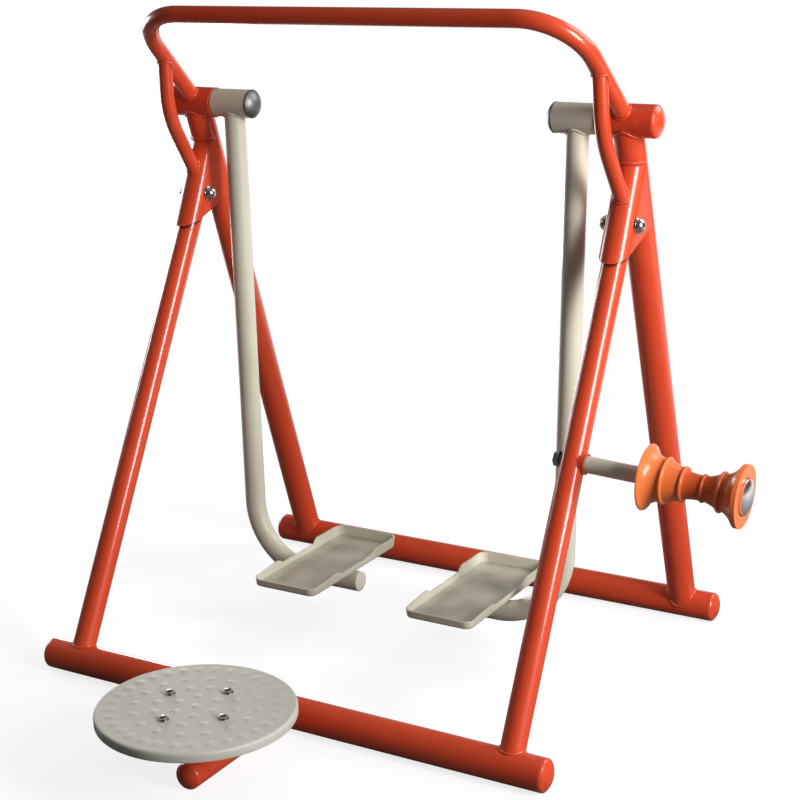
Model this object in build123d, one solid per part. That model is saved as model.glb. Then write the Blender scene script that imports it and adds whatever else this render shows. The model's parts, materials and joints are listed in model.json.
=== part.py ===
from build123d import *
import os
from math import atan, cos, pi, radians, sin, sqrt, tan

# Outdoor air walker: two swinging foot arms, a twist disc and a grip roller on a tube frame.
# Millimetres, +Z up. X runs along the two base tubes and -Y is the front, with the twist disc.
# The origin is on the ground, midway between the side frames and straight below the swing axles.

# Clearances
weld_gap = 0.2            # root gap of a tube end coped to another tube
press_gap = 0.02          # radial gap of a pressed or glued fit
running_gap = 0.05        # radial gap of a bearing on its shaft
turning_gap = 0.3         # gap between faces that turn against each other
hole_clearance = 1.0      # what a bolt hole is larger than its bolt

# Base tubes
base_od = 60.0
base_wall = 2.5
base_overhang = 66.0      # plain tube past a side frame's middle
front_base_y = -461.0
rear_base_y = 371.0
end_dome = 14.0           # how far a domed cap stands out
end_rim = 3.0             # straight rim of a domed cap
end_rim_share = 0.92      # share of the rim that the rounding to the dome takes up
cap_wall = 2.5
cap_spigot = 10.0         # depth of a cap's spigot in its tube

# Side frames
side_x = 470.0
axle_z = 1077.0
rear_leg_od = 57.0
front_leg_od = 45.0
leg_wall = 2.5

# Leg sockets: a U pressed from plate, welded to the rear leg, with the front leg bolted in
socket_wall = 5.0
socket_fit = 1.0          # gap round the front leg
socket_lean = 24.2        # degrees from vertical of the round nose
socket_cross_drop = 277.0 # from the axle down to where the axes of nose and front leg cross
socket_edge_drop = 245.0  # from the axle down to the front of the lower edge
socket_edge_rise = 20.0   # degrees that the lower edge rises to the rear
socket_end_inset = 6.0    # how far ahead of the rear leg's middle the cheeks end
socket_bolt_y = -9.8
socket_bolt_drop = 184.0  # from the axle down to the bolt
leg_past_bolt = 28.0      # front leg's end beyond its bolt
socket_bolt_d = 12.0
washer_od = 32.0
washer_t = 2.5
cap_nut_d = 27.0
cap_nut_rim = 3.0         # straight edge below the dome
cap_nut_height = 12.5
cap_nut_bore = 8.0        # depth of the blind hole

# Axle housings and shafts
housing_od = 60.0
housing_wall = 3.0
housing_inner = 50.5      # from the side frame's middle to the inner end
housing_outer = 55.0      # and to the outer end
shaft_d = 20.0
support_ring_w = 12.0
outer_ring_inset = 10.0   # from the housing's outer end to its support ring
lock_nut_flats = 30.0
lock_nut_t = 11.0
lock_washer_od = 36.0
lock_washer_t = 3.0
shaft_past_nut = 2.0

# Arm hubs and their bearings
hub_od = 56.0
hub_length = 84.0
hub_side_gap = 1.5        # between the hub and the housing
bearing_od = 47.0
bearing_w = 14.0
bearing_shoulder = 1.5    # what the hub's bore narrows between its bearings
bearing_inset = 4.0       # outer bearing from the hub's end
inner_inset = 8.0         # inner bearing from the hub's end
spacer_od = 26.0
hub_cap_od = 57.0
hub_cap_rim = 3.0
hub_cap_height = 16.0
hub_cap_wall = 1.5
hub_cap_spigot = 5.0

# Swing arms
arm_od = 42.0
arm_wall = 2.5
arm_foot_inset = 18.0     # from the hub's middle in to the unbent corner
arm_bend = 142.0
tail_z = 99.0
tail_end_x = 106.0
tail_plug = 6.0           # how far the plug stands out of the tail
plug_edge = 3.0

# Pedals
pedal_x = 176.0
pedal_y = -11.5
pedal_width = 150.0
pedal_length = 340.0
pedal_sheet = 3.0
pedal_corner = 16.0
pedal_edge = 4.0
pedal_draft = 8.0
pedal_rear_rim = 25.0     # rim heights above the underside
pedal_front_rim = 16.0
pedal_side_rim = 23.0
pedal_dip_rim = 15.0
pedal_dip_length = 116.0
pedal_dip_ramp = 17.0
plate_length = 84.0
plate_width = 60.0
plate_t = 6.0
plate_corner = 8.0

# Handlebar and struts
bar_od = 32.0
bar_wall = 2.5
bar_y = -209.0
bar_rise = 184.0          # from the axle up to the cross bar
bar_corner_inset = 15.0   # from the side frame's middle in to the unbent corner
bar_bend = 110.0
strut_od = 28.0
strut_wall = 2.0
strut_top_y = -108.0
strut_knee_inset = 4.0
strut_knee_y = -99.0
strut_knee_drop = 19.0    # below the axle
strut_bend = 180.0
strut_foot_drop = 128.0   # from the axle down to where its axis meets the socket's front

# Twist disc and its stand
foot_od = 48.0
foot_wall = 2.5
foot_end_y = -739.0
disc_y = -708.0
disc_top_z = 141.0
disc_d = 346.0
disc_wall = 4.0
disc_skirt = 17.0
disc_edge = 5.0
rib_count = 8
rib_t = 4.0
rib_depth = 9.0
rib_start = 96.0          # radius where the ribs begin
nub_d = 17.0              # massage nubs on the top
nub_height = 2.2
nub_root = 1.0            # how deep a nub is rooted in the disc
nub_rings = ((38.0, 6), (107.0, 16), (145.0, 32))  # radius and count of each ring that has no bolts
gap_nub_count = 2         # nubs between two bolts
disc_bolt_pitch = 100.0   # side of the square of bolts
disc_bolt_turn = 31.0     # degrees that the square is turned at rest
disc_bolt_d = 8.0
disc_bolt_flats = 13.0
disc_bolt_head = 5.5
disc_washer_od = 20.0
disc_washer_t = 1.6
disc_nut_t = 6.5
flange_side = 132.0
flange_t = 6.0
flange_corner = 12.0
spindle_d = 20.0
spindle_collar_od = 28.0
spindle_collar = 5.7
post_od = 48.0
post_wall = 3.0
post_bearing_w = 12.0
post_bearing_pitch = 33.0

# Grip roller on the right front leg
roller_axis_z = 505.0
roller_droop = 3.0        # degrees that the stub hangs below level
roller_start = 139.0      # from the leg's axis to the near flange
roller_length = 174.0
roller_flange_r = 58.5
roller_rim_r = 55.0
roller_rim_w = 11.0
roller_rim_step = 3.0     # step from the flare to the rim
roller_shell = 7.0        # thickness of the near flange at its edge
roller_lip = 3.0
roller_lip_taper = 1.0
roller_rim_bevel = 2.5
# Height of each ridge from the near flange, then its radius before, on top and after
roller_ridges = (
    (35.0, 38.0, 41.5, 36.5),
    (66.5, 28.5, 31.5, 25.5),
    (102.0, 22.0, 25.0, 22.0),
    (134.0, 31.5, 36.0, 31.5),
)
ridge_w = 6.5
bell_curve = 30.0         # radii of the hollow stretches
waist_curve = 90.0
flare_curve = 50.0
roller_axle_d = 16.0
roller_bush_od = 28.0
roller_bush_l = 24.0
roller_cup_depth = 22.0
roller_cup_r = 30.0
roller_recess_r = 33.0
roller_recess = 24.0
stub_od = 30.0
stub_wall = 3.0
boss_od = 38.0
boss_wall = 3.0
boss_end = 27.0           # from the leg's axis
axle_nut_flats = 24.0
axle_nut_t = 8.0
axle_washer_od = 30.0
axle_washer_t = 2.5
roller_cap_r = 31.5
roller_cap_stand = 4.5    # how far its straight edge stands out
roller_cap_dome = 7.0
roller_cap_wall = 1.5
roller_cap_skirt = 9.0

# Places worked out from the sizes above
base_z = base_od / 2
base_length = 2 * (side_x + base_overhang)
socket_cross_z = axle_z - socket_cross_drop
socket_front_edge_z = axle_z - socket_edge_drop
socket_bolt_z = axle_z - socket_bolt_drop
housing_inner_x = side_x - housing_inner
housing_outer_x = side_x + housing_outer
bar_z = axle_z + bar_rise
bar_corner_x = side_x - bar_corner_inset
strut_foot_z = axle_z - strut_foot_drop
rear_dir = Vector(0, -rear_base_y, axle_z - base_z).normalized()
front_run = (socket_bolt_y - front_base_y) / (socket_bolt_z - base_z)
front_dir = Vector(0, front_run, 1).normalized()
nose_run = tan(radians(socket_lean))
nose_dir = Vector(0, sin(radians(socket_lean)), cos(radians(socket_lean)))
nose_r = front_leg_od / 2 + socket_fit + socket_wall
hub_outer_x = housing_inner_x - hub_side_gap
hub_inner_x = hub_outer_x - hub_length
arm_foot_x = (hub_outer_x + hub_inner_x) / 2 - arm_foot_inset
outer_bearing_x = hub_outer_x - bearing_inset - bearing_w
inner_bearing_x = hub_inner_x + inner_inset
lock_nut_x = inner_bearing_x - turning_gap - lock_washer_t - lock_nut_t
plate_z = tail_z + arm_od / 2
pedal_z = plate_z + plate_t
flange_top_z = disc_top_z - disc_wall
post_top_z = flange_top_z - flange_t - spindle_collar - turning_gap
foot_z = foot_od / 2
far = 2000.0              # length of cutting tools
standing = (Align.CENTER, Align.CENTER, Align.MIN)  # of pieces that stand on the XY plane
hanging = (Align.CENTER, Align.CENTER, Align.MAX)   # of pieces that hang from it


def front_leg_y(z):
    """Y of the front leg's axis at a height."""
    return front_base_y + front_run * (z - base_z)


def frame_at(start, end):
    """Plane at start with its Z axis towards end."""
    return Plane(origin=start, z_dir=Vector(end) - Vector(start))


def rod(start, end, diameter):
    """Round bar between two points."""
    length = (Vector(end) - Vector(start)).length
    return frame_at(start, end) * Cylinder(diameter / 2, length, align=standing)


def tube(start, end, od, wall):
    """Straight tube between two points."""
    return rod(start, end, od) - rod(start, end, od - 2 * wall)


def ring(start, end, od, bore):
    """Plain ring, bush or washer between two points."""
    return rod(start, end, od) - rod(start, end, bore)


def bent_tube(points, bend, od, wall):
    """Tube bent along a line of points."""
    path = FilletPolyline(*points, radius=bend)
    start = Plane(origin=path @ 0, z_dir=path % 0)
    return sweep(start * (Circle(od / 2) - Circle(od / 2 - wall)), path=path)


def x_rod(x0, x1, y, z, diameter):
    """Round bar along X."""
    return rod((x0, y, z), (x1, y, z), diameter)


def both_sides(part):
    """A right-hand piece and its mirror image, as one group."""
    return Compound(children=[part, mirror(part, about=Plane.YZ)])


def hexagon_bar(flats, height):
    """Hexagonal prism standing on the XY plane."""
    return extrude(RegularPolygon(flats / 2, 6, major_radius=False), amount=height)


def crown(radius, low, high):
    """Half profile of a spherical dome from its rim at a radius up to the axis."""
    rise = high - low
    return RadiusArc((radius, low), (0, high), -(radius**2 + rise**2) / (2 * rise))


def domed_cap(od, wall, dome):
    """Hollow domed cap with a spigot. Its tube ends at the XY plane and the dome points up."""
    outer = od / 2
    spigot = outer - wall - press_gap
    inner = spigot - cap_wall
    lines = [
        crown(outer, end_rim, dome),
        Line((0, dome), (0, dome - cap_wall)),
        crown(inner, 0, dome - cap_wall),
        Line((inner, 0), (inner, -cap_spigot)),
        Line((inner, -cap_spigot), (spigot, -cap_spigot)),
        Line((spigot, -cap_spigot), (spigot, 0)),
        Line((spigot, 0), (outer, 0)),
        Line((outer, 0), (outer, end_rim)),
    ]
    cap = revolve(Plane.XZ * make_face(lines), axis=Axis.Z)
    circles = cap.edges().filter_by(GeomType.CIRCLE).filter_by(lambda edge: edge.is_closed)
    turn = pi / 2 - 2 * atan((dome - end_rim) / outer)
    return fillet(circles.sort_by(Axis.Z)[-1], end_rim_share * end_rim / tan(turn / 2))


def base_tube(y):
    """Base tube lying on the ground."""
    half = base_length / 2
    return tube((-half, y, base_z), (half, y, base_z), base_od, base_wall)


def base_end_caps():
    """Domed caps on the four ends of the base tubes."""
    caps = []
    for y in (front_base_y, rear_base_y):
        for side in (-1, 1):
            end = Plane(origin=(side * base_length / 2, y, base_z), z_dir=(side, 0, 0))
            caps.append(end * domed_cap(base_od, base_wall, end_dome))
    return Compound(children=caps)


def base_cope(y):
    """Cylinder that copes a leg to a base tube."""
    return x_rod(-far / 2, far / 2, y, base_z, base_od + 2 * weld_gap)


def housing_cope():
    """Cylinder that copes a tube to the axle housings."""
    return x_rod(-far / 2, far / 2, 0, axle_z, housing_od + 2 * weld_gap)


def socket_bolt_hole():
    """Bolt hole through the right leg socket and front leg."""
    y = front_leg_y(socket_bolt_z)
    return x_rod(side_x - 2 * nose_r, side_x + 2 * nose_r, y, socket_bolt_z, socket_bolt_d + hole_clearance)


def rear_leg():
    """Right rear leg, coped to the base tube and to the axle housing."""
    leg = tube((side_x, rear_base_y, base_z), (side_x, 0, axle_z), rear_leg_od, leg_wall)
    return leg - base_cope(rear_base_y) - housing_cope()


def front_leg():
    """Right front leg without its roller hole: coped to the base tube, its upper end in the socket."""
    top_z = socket_bolt_z + leg_past_bolt * front_dir.Z
    top = (side_x, front_leg_y(top_z), top_z)
    leg = tube((side_x, front_base_y, base_z), top, front_leg_od, leg_wall)
    return leg - base_cope(front_base_y) - socket_bolt_hole()


def nose_axis(height):
    """Point on the right socket's nose axis."""
    y = front_leg_y(socket_cross_z) + nose_run * (height - socket_cross_z)
    return Vector(side_x, y, height)


def nose_front_y(height):
    """Y of the socket nose's front at a height."""
    return nose_axis(height).Y - nose_r / cos(radians(socket_lean))


def socket_nose():
    """Full cylinder of the right socket's nose, which copes the strut."""
    return rod(nose_axis(socket_cross_z), nose_axis(axle_z), 2 * (nose_r + weld_gap))


def leg_socket():
    """Right leg socket: a U of plate round the front leg, trimmed to the rear leg."""
    reach = axle_z - socket_cross_z
    start = nose_axis(socket_cross_z - reach / 2)
    section = Plane(origin=start, x_dir=(1, 0, 0), z_dir=nose_dir)
    inside_r = nose_r - socket_wall
    outline = Circle(nose_r) + Pos(0, reach / 2) * Rectangle(2 * nose_r, reach)
    hollow = Circle(inside_r) + Pos(0, reach / 2) * Rectangle(2 * inside_r, reach)
    shell = extrude(section * (outline - hollow), amount=2 * reach)
    # The lower edge is cut straight and rises to the rear
    front_edge = (side_x, nose_front_y(socket_front_edge_z), socket_front_edge_z)
    below = Pos(*front_edge) * Rot(socket_edge_rise, 0, 0)
    shell -= below * Box(far, far, far, align=hanging)
    # The cheeks end on the rear leg's surface, a little ahead of its middle
    behind = Plane(origin=(side_x, 0, axle_z), x_dir=(1, 0, 0), z_dir=rear_dir) * Pos(0, -socket_end_inset, 0)
    shell -= behind * Box(far, far, far, align=(Align.CENTER, Align.MIN, Align.CENTER))
    shell -= rod((side_x, rear_base_y, base_z), (side_x, 0, axle_z), rear_leg_od + 2 * weld_gap)
    return shell - socket_bolt_hole()


def socket_fasteners():
    """Studs, washers and domed cap nuts that hold the front legs in their sockets."""
    y = front_leg_y(socket_bolt_z)
    nut_x = nose_r + washer_t
    tip = nut_x + cap_nut_bore
    nut_r = cap_nut_d / 2
    lines = [
        Line((0, 0), (nut_r, 0)),
        Line((nut_r, 0), (nut_r, cap_nut_rim)),
        crown(nut_r, cap_nut_rim, cap_nut_height),
        Line((0, cap_nut_height), (0, 0)),
    ]
    nut = revolve(Plane.XZ * make_face(lines), axis=Axis.Z)
    nut -= Cylinder(socket_bolt_d / 2 + press_gap, cap_nut_bore, align=standing)
    studs, washers, nuts = [], [], []
    for x in (-side_x, side_x):
        studs.append(x_rod(x - tip, x + tip, y, socket_bolt_z, socket_bolt_d))
        for side in (-1, 1):
            face = (x + side * nose_r, y, socket_bolt_z)
            seat = (x + side * nut_x, y, socket_bolt_z)
            washers.append(ring(face, seat, washer_od, socket_bolt_d + hole_clearance))
            nuts.append(Plane(origin=seat, z_dir=(side, 0, 0)) * nut)
    return Compound(children=studs), Compound(children=washers), Compound(children=nuts)


def axle_housing():
    """Right axle housing tube."""
    return tube((housing_inner_x, 0, axle_z), (housing_outer_x, 0, axle_z), housing_od, housing_wall)


def housing_cap():
    """Domed cap on the right housing's outer end."""
    end = Plane(origin=(housing_outer_x, 0, axle_z), z_dir=(1, 0, 0))
    return end * domed_cap(housing_od, housing_wall, end_dome)


def support_rings():
    """Rings that hold the right shaft in its housing."""
    od = housing_od - 2 * housing_wall - 2 * press_gap
    rings = []
    for x in (housing_inner_x, housing_outer_x - outer_ring_inset - cap_spigot - support_ring_w):
        rings.append(ring((x, 0, axle_z), (x + support_ring_w, 0, axle_z), od, shaft_d + 2 * press_gap))
    return rings


def axle_shaft():
    """Right axle shaft, from its lock nut to the outer support ring."""
    end = housing_outer_x - outer_ring_inset - cap_spigot
    return x_rod(lock_nut_x - shaft_past_nut, end, 0, axle_z, shaft_d)


def axle_spacers():
    """Collar and sleeve on the right shaft that keep the hub's bearings in place."""
    bore = shaft_d + 2 * press_gap
    collar_x = outer_bearing_x + bearing_w + turning_gap
    collar = ring((collar_x, 0, axle_z), (housing_inner_x, 0, axle_z), spacer_od, bore)
    sleeve_x = inner_bearing_x + bearing_w + turning_gap
    sleeve = ring((sleeve_x, 0, axle_z), (outer_bearing_x - turning_gap, 0, axle_z), spacer_od, bore)
    return [collar, sleeve]


def axle_washer():
    """Washer between the right inner bearing and its lock nut."""
    x = lock_nut_x + lock_nut_t
    return ring((x, 0, axle_z), (x + lock_washer_t, 0, axle_z), lock_washer_od, shaft_d + 2 * press_gap)


def axle_nut():
    """Lock nut at the right shaft's end."""
    bar = Plane(origin=(lock_nut_x, 0, axle_z), z_dir=(1, 0, 0)) * hexagon_bar(lock_nut_flats, lock_nut_t)
    return bar - x_rod(lock_nut_x, lock_nut_x + lock_nut_t, 0, axle_z, shaft_d + 2 * press_gap)


def arm_hub():
    """Right arm hub, with a seat for a bearing at each end."""
    hub = x_rod(hub_inner_x, hub_outer_x, 0, axle_z, hub_od)
    hub -= x_rod(hub_inner_x, hub_outer_x, 0, axle_z, bearing_od - 2 * bearing_shoulder)
    hub -= x_rod(hub_inner_x, inner_bearing_x + bearing_w, 0, axle_z, bearing_od)
    return hub - x_rod(outer_bearing_x, hub_outer_x, 0, axle_z, bearing_od)


def hub_bearings():
    """Two bearings of the right hub."""
    rings = []
    for x in (inner_bearing_x, outer_bearing_x):
        rings.append(ring((x, 0, axle_z), (x + bearing_w, 0, axle_z),
                          bearing_od - 2 * press_gap, shaft_d + 2 * running_gap))
    return rings


def hub_cap():
    """Domed bright cap on the right hub's inner end."""
    outer = hub_cap_od / 2
    spigot = bearing_od / 2 - press_gap
    inner = spigot - hub_cap_wall
    lines = [
        crown(outer, hub_cap_rim, hub_cap_height),
        Line((0, hub_cap_height), (0, hub_cap_height - hub_cap_wall)),
        crown(inner, 0, hub_cap_height - hub_cap_wall),
        Line((inner, 0), (inner, -hub_cap_spigot)),
        Line((inner, -hub_cap_spigot), (spigot, -hub_cap_spigot)),
        Line((spigot, -hub_cap_spigot), (spigot, 0)),
        Line((spigot, 0), (outer, 0)),
        Line((outer, 0), (outer, hub_cap_rim)),
    ]
    cap = revolve(Plane.XZ * make_face(lines), axis=Axis.Z)
    return Plane(origin=(hub_inner_x, 0, axle_z), z_dir=(-1, 0, 0)) * cap


def swing_arm():
    """Right swing arm: a J of tube, coped to its hub, with its tail under the pedal."""
    hub_middle_x = (hub_inner_x + hub_outer_x) / 2
    route = [(hub_middle_x, 0, axle_z), (arm_foot_x, 0, tail_z), (tail_end_x, 0, tail_z)]
    arm = bent_tube(route, arm_bend, arm_od, arm_wall)
    return arm - x_rod(0, far, 0, axle_z, hub_od + 2 * weld_gap)


def arm_plug():
    """Plug that closes the right tail."""
    head = Cylinder(arm_od / 2, tail_plug, align=standing)
    head = fillet(head.edges().group_by(Axis.Z)[-1], plug_edge)
    spigot = Cylinder(arm_od / 2 - arm_wall - press_gap, cap_spigot, align=hanging)
    return Plane(origin=(tail_end_x, 0, tail_z), z_dir=(-1, 0, 0)) * (head + spigot)


def pedal_plate():
    """Plate welded on the right tail to carry the pedal."""
    plate = extrude(RectangleRounded(plate_length, plate_width, plate_corner), amount=plate_t)
    return Pos(pedal_x, pedal_y, plate_z) * plate


def pedal():
    """Right pedal: a pressed tray with flared walls, its sides dipped in the middle."""
    height = max(pedal_rear_rim, pedal_front_rim, pedal_side_rim, pedal_dip_rim)
    flare = height * tan(radians(pedal_draft))
    width = pedal_width - 2 * flare
    length = pedal_length - 2 * flare
    sheet = pedal_sheet
    outside = extrude(RectangleRounded(width, length, pedal_corner), amount=height, taper=-pedal_draft)
    outside = fillet(outside.edges().group_by(Axis.Z)[0], pedal_edge)
    floor = RectangleRounded(width - 2 * sheet, length - 2 * sheet, pedal_corner - sheet)
    hollow = Pos(0, 0, sheet) * extrude(floor, amount=height, taper=-pedal_draft)
    dip = pedal_dip_length / 2
    end = pedal_length / 2
    rim = Polyline(
        (-2 * end, pedal_front_rim),
        (-end, pedal_front_rim),
        (-dip - pedal_dip_ramp, pedal_side_rim),
        (-dip, pedal_dip_rim),
        (dip, pedal_dip_rim),
        (dip + pedal_dip_ramp, pedal_rear_rim),
        (2 * end, pedal_rear_rim),
        (2 * end, 2 * height),
        (-2 * end, 2 * height),
        close=True,
    )
    trim = extrude(Plane.YZ * make_face(rim), amount=pedal_width, both=True)
    return Pos(pedal_x, pedal_y, pedal_z) * (outside - hollow - trim)


def bar_corner(side):
    """Unbent corner of the handlebar."""
    return Vector(side * bar_corner_x, bar_y, bar_z)


def handlebar():
    """Handlebar: one tube from housing to housing, with the cross bar at its front."""
    ends = [Vector(side * side_x, 0, axle_z) for side in (-1, 1)]
    route = [ends[0], bar_corner(-1), bar_corner(1), ends[1]]
    return bent_tube(route, bar_bend, bar_od, bar_wall) - housing_cope()


def handlebar_strut():
    """Right strut from the handlebar's side down to the leg socket's nose."""
    housing_end = Vector(side_x, 0, axle_z)
    corner = bar_corner(1)
    top = housing_end + (corner - housing_end) * (strut_top_y / bar_y)
    knee = Vector(side_x - strut_knee_inset, strut_knee_y, axle_z - strut_knee_drop)
    foot = Vector(side_x, nose_front_y(strut_foot_z), strut_foot_z)
    end = foot + (foot - knee).normalized() * strut_od
    strut = bent_tube([top, knee, end], strut_bend, strut_od, strut_wall)
    strut -= rod(housing_end, corner, bar_od + 2 * weld_gap)
    return strut - socket_nose()


def twister_foot():
    """Foot tube of the twist disc, coped to the front base tube."""
    foot = tube((0, front_base_y, foot_z), (0, foot_end_y, foot_z), foot_od, foot_wall)
    return foot - base_cope(front_base_y)


def twister_foot_cap():
    """Domed cap on the foot tube's end."""
    return Plane(origin=(0, foot_end_y, foot_z), z_dir=(0, -1, 0)) * domed_cap(foot_od, foot_wall, end_dome)


def twister_post():
    """Upright post on the foot tube."""
    post = tube((0, disc_y, foot_z), (0, disc_y, post_top_z), post_od, post_wall)
    return post - rod((0, front_base_y, foot_z), (0, foot_end_y - post_od, foot_z), foot_od + 2 * weld_gap)


def twister_bearings():
    """Two bearings in the post."""
    od = post_od - 2 * post_wall - 2 * press_gap
    bore = spindle_d + 2 * running_gap
    rings = []
    for top in (post_top_z, post_top_z - post_bearing_pitch):
        rings.append(ring((0, disc_y, top - post_bearing_w), (0, disc_y, top), od, bore))
    return Compound(children=rings)


def disc_bolt_places():
    """Places of the disc's four bolts, on its axis and at height zero."""
    turn = Pos(0, disc_y, 0) * Rot(0, 0, disc_bolt_turn)
    return [turn * place for place in GridLocations(disc_bolt_pitch, disc_bolt_pitch, 2, 2)]


def disc_bolt_holes():
    """Holes for the disc's bolts."""
    hole = Cylinder((disc_bolt_d + hole_clearance) / 2, far, align=(Align.CENTER, Align.CENTER, Align.CENTER))
    return [place * hole for place in disc_bolt_places()]


def disc_nubs():
    """Massage nubs, standing on height zero about the disc's axis."""
    nub_r = nub_d / 2
    lines = [
        crown(nub_r, 0, nub_height),
        Line((0, nub_height), (0, -nub_root)),
        Line((0, -nub_root), (nub_r, -nub_root)),
        Line((nub_r, -nub_root), (nub_r, 0)),
    ]
    nub = revolve(Plane.XZ * make_face(lines), axis=Axis.Z)
    places = [Pos(0, 0, 0)]
    for radius, count in nub_rings:
        places += list(PolarLocations(radius, count))
    # Every bolt takes the place of a nub on its ring
    step = gap_nub_count + 1
    ring_places = PolarLocations(disc_bolt_pitch / sqrt(2), 4 * step, start_angle=disc_bolt_turn + 45)
    places += [place for index, place in enumerate(ring_places) if index % step]
    return [place * nub for place in places]


def twister_disc():
    """Twist disc: a moulded top with massage nubs and a skirt, and radial ribs below."""
    radius = disc_d / 2
    disc = Cylinder(radius, disc_skirt, align=hanging)
    disc = fillet(disc.edges().group_by(Axis.Z)[-1], disc_edge)
    inside = radius - disc_wall
    hollow = Pos(0, 0, -disc_wall) * Cylinder(inside, disc_skirt, align=hanging)
    disc -= hollow
    disc += disc_nubs()
    rib = Pos(rib_start, 0, -disc_wall) * Box(inside - rib_start, rib_t, rib_depth,
                                              align=(Align.MIN, Align.CENTER, Align.MAX))
    for index in range(rib_count):
        disc += Rot(0, 0, 360 / rib_count * index) * rib
    disc = Pos(0, disc_y, disc_top_z) * disc
    for hole in disc_bolt_holes():
        disc -= hole
    return disc


def twister_spindle():
    """Square flange under the disc, with the spindle that turns in the post."""
    plate = extrude(RectangleRounded(flange_side, flange_side, flange_corner), amount=-flange_t)
    spindle = Pos(0, disc_y, flange_top_z) * Rot(0, 0, disc_bolt_turn) * plate
    collar_z = flange_top_z - flange_t - spindle_collar
    spindle += rod((0, disc_y, flange_top_z - flange_t), (0, disc_y, collar_z), spindle_collar_od)
    spindle += rod((0, disc_y, collar_z), (0, disc_y, spindle_nut_z() - shaft_past_nut), spindle_d)
    for hole in disc_bolt_holes():
        spindle -= hole
    return spindle


def spindle_nut_z():
    """Underside of the spindle's lock nut."""
    return post_top_z - post_bearing_pitch - post_bearing_w - turning_gap - lock_nut_t


def spindle_nut():
    """Lock nut under the lower bearing."""
    nut = hexagon_bar(lock_nut_flats, lock_nut_t)
    nut -= Cylinder(spindle_d / 2 + press_gap, far)
    return Pos(0, disc_y, spindle_nut_z()) * nut


def disc_fasteners():
    """Bolts, washers and nuts that hold the disc on its flange."""
    under = flange_top_z - flange_t
    head_z = disc_top_z + disc_washer_t
    head = hexagon_bar(disc_bolt_flats, disc_bolt_head)
    head &= Pos(0, 0, -disc_bolt_flats) * Sphere(disc_bolt_flats + disc_bolt_head)
    shank = Cylinder(disc_bolt_d / 2, head_z - under + disc_nut_t, align=hanging)
    washer = Cylinder(disc_washer_od / 2, disc_washer_t, align=standing)
    washer -= Cylinder((disc_bolt_d + hole_clearance) / 2, far)
    nut = hexagon_bar(disc_bolt_flats, disc_nut_t) - Cylinder(disc_bolt_d / 2 + press_gap, far)
    bolts, washers, nuts = [], [], []
    for place in disc_bolt_places():
        bolts.append(Pos(0, 0, head_z) * place * (head + shank))
        washers.append(Pos(0, 0, disc_top_z) * place * washer)
        nuts.append(Pos(0, 0, under - disc_nut_t) * place * nut)
    return Compound(children=bolts), Compound(children=washers), Compound(children=nuts)


def roller_frame():
    """Place of the roller's axle: on the right front leg's axis, Z along the stub."""
    drop = radians(roller_droop)
    origin = (side_x, front_leg_y(roller_axis_z), roller_axis_z)
    return Plane(origin=origin, x_dir=(0, 1, 0), z_dir=(cos(drop), 0, -sin(drop)))


def stub_piece(start, end, od, bore):
    """Ring on the roller's axle between two distances from the leg's axis."""
    low = roller_frame().from_local_coords(Vector(0, 0, start))
    high = roller_frame().from_local_coords(Vector(0, 0, end))
    return ring(low, high, od, bore)


def stub_rod(start, end, diameter):
    """Round bar on the roller's axle between two distances from the leg's axis."""
    low = roller_frame().from_local_coords(Vector(0, 0, start))
    high = roller_frame().from_local_coords(Vector(0, 0, end))
    return rod(low, high, diameter)


def leg_cope():
    """Cylinder that copes the stub's boss to the right front leg."""
    foot = Vector(side_x, front_base_y, base_z)
    return rod(foot, foot + front_dir * far, front_leg_od + 2 * weld_gap)


def roller_boss():
    """Boss welded to the right front leg round the stub."""
    return stub_piece(0, boss_end, boss_od, boss_od - 2 * boss_wall) - leg_cope()


def roller_stub():
    """Spacer tube between the leg and the roller."""
    end = roller_start + roller_cup_depth - turning_gap
    return stub_piece(0, end, stub_od, stub_od - 2 * stub_wall) - leg_cope()


def roller_axle_ends():
    """Where the axle's washers seat: inside the leg, and in the roller's recess."""
    tilt = axle_washer_od / 2 * sin(radians(roller_droop))
    inner = -front_leg_od / 2 - tilt - turning_gap
    outer = roller_start + roller_length - roller_recess + turning_gap
    return inner, outer


def roller_axle():
    """Axle through the right front leg, the stub and the roller."""
    inner, outer = roller_axle_ends()
    grip = axle_washer_t + axle_nut_t
    return stub_rod(inner - grip, outer + grip, roller_axle_d)


def roller_fasteners():
    """Washers and nuts at both ends of the roller's axle."""
    inner, outer = roller_axle_ends()
    bore = roller_axle_d + 2 * press_gap
    washers = [
        stub_piece(inner - axle_washer_t, inner, axle_washer_od, bore),
        stub_piece(outer, outer + axle_washer_t, axle_washer_od, bore),
    ]
    nuts = []
    for start in (inner - axle_washer_t - axle_nut_t, outer + axle_washer_t):
        nut = hexagon_bar(axle_nut_flats, axle_nut_t) - Cylinder(bore / 2, far)
        nuts.append(roller_frame() * Pos(0, 0, start) * nut)
    return Compound(children=washers), Compound(children=nuts)


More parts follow.
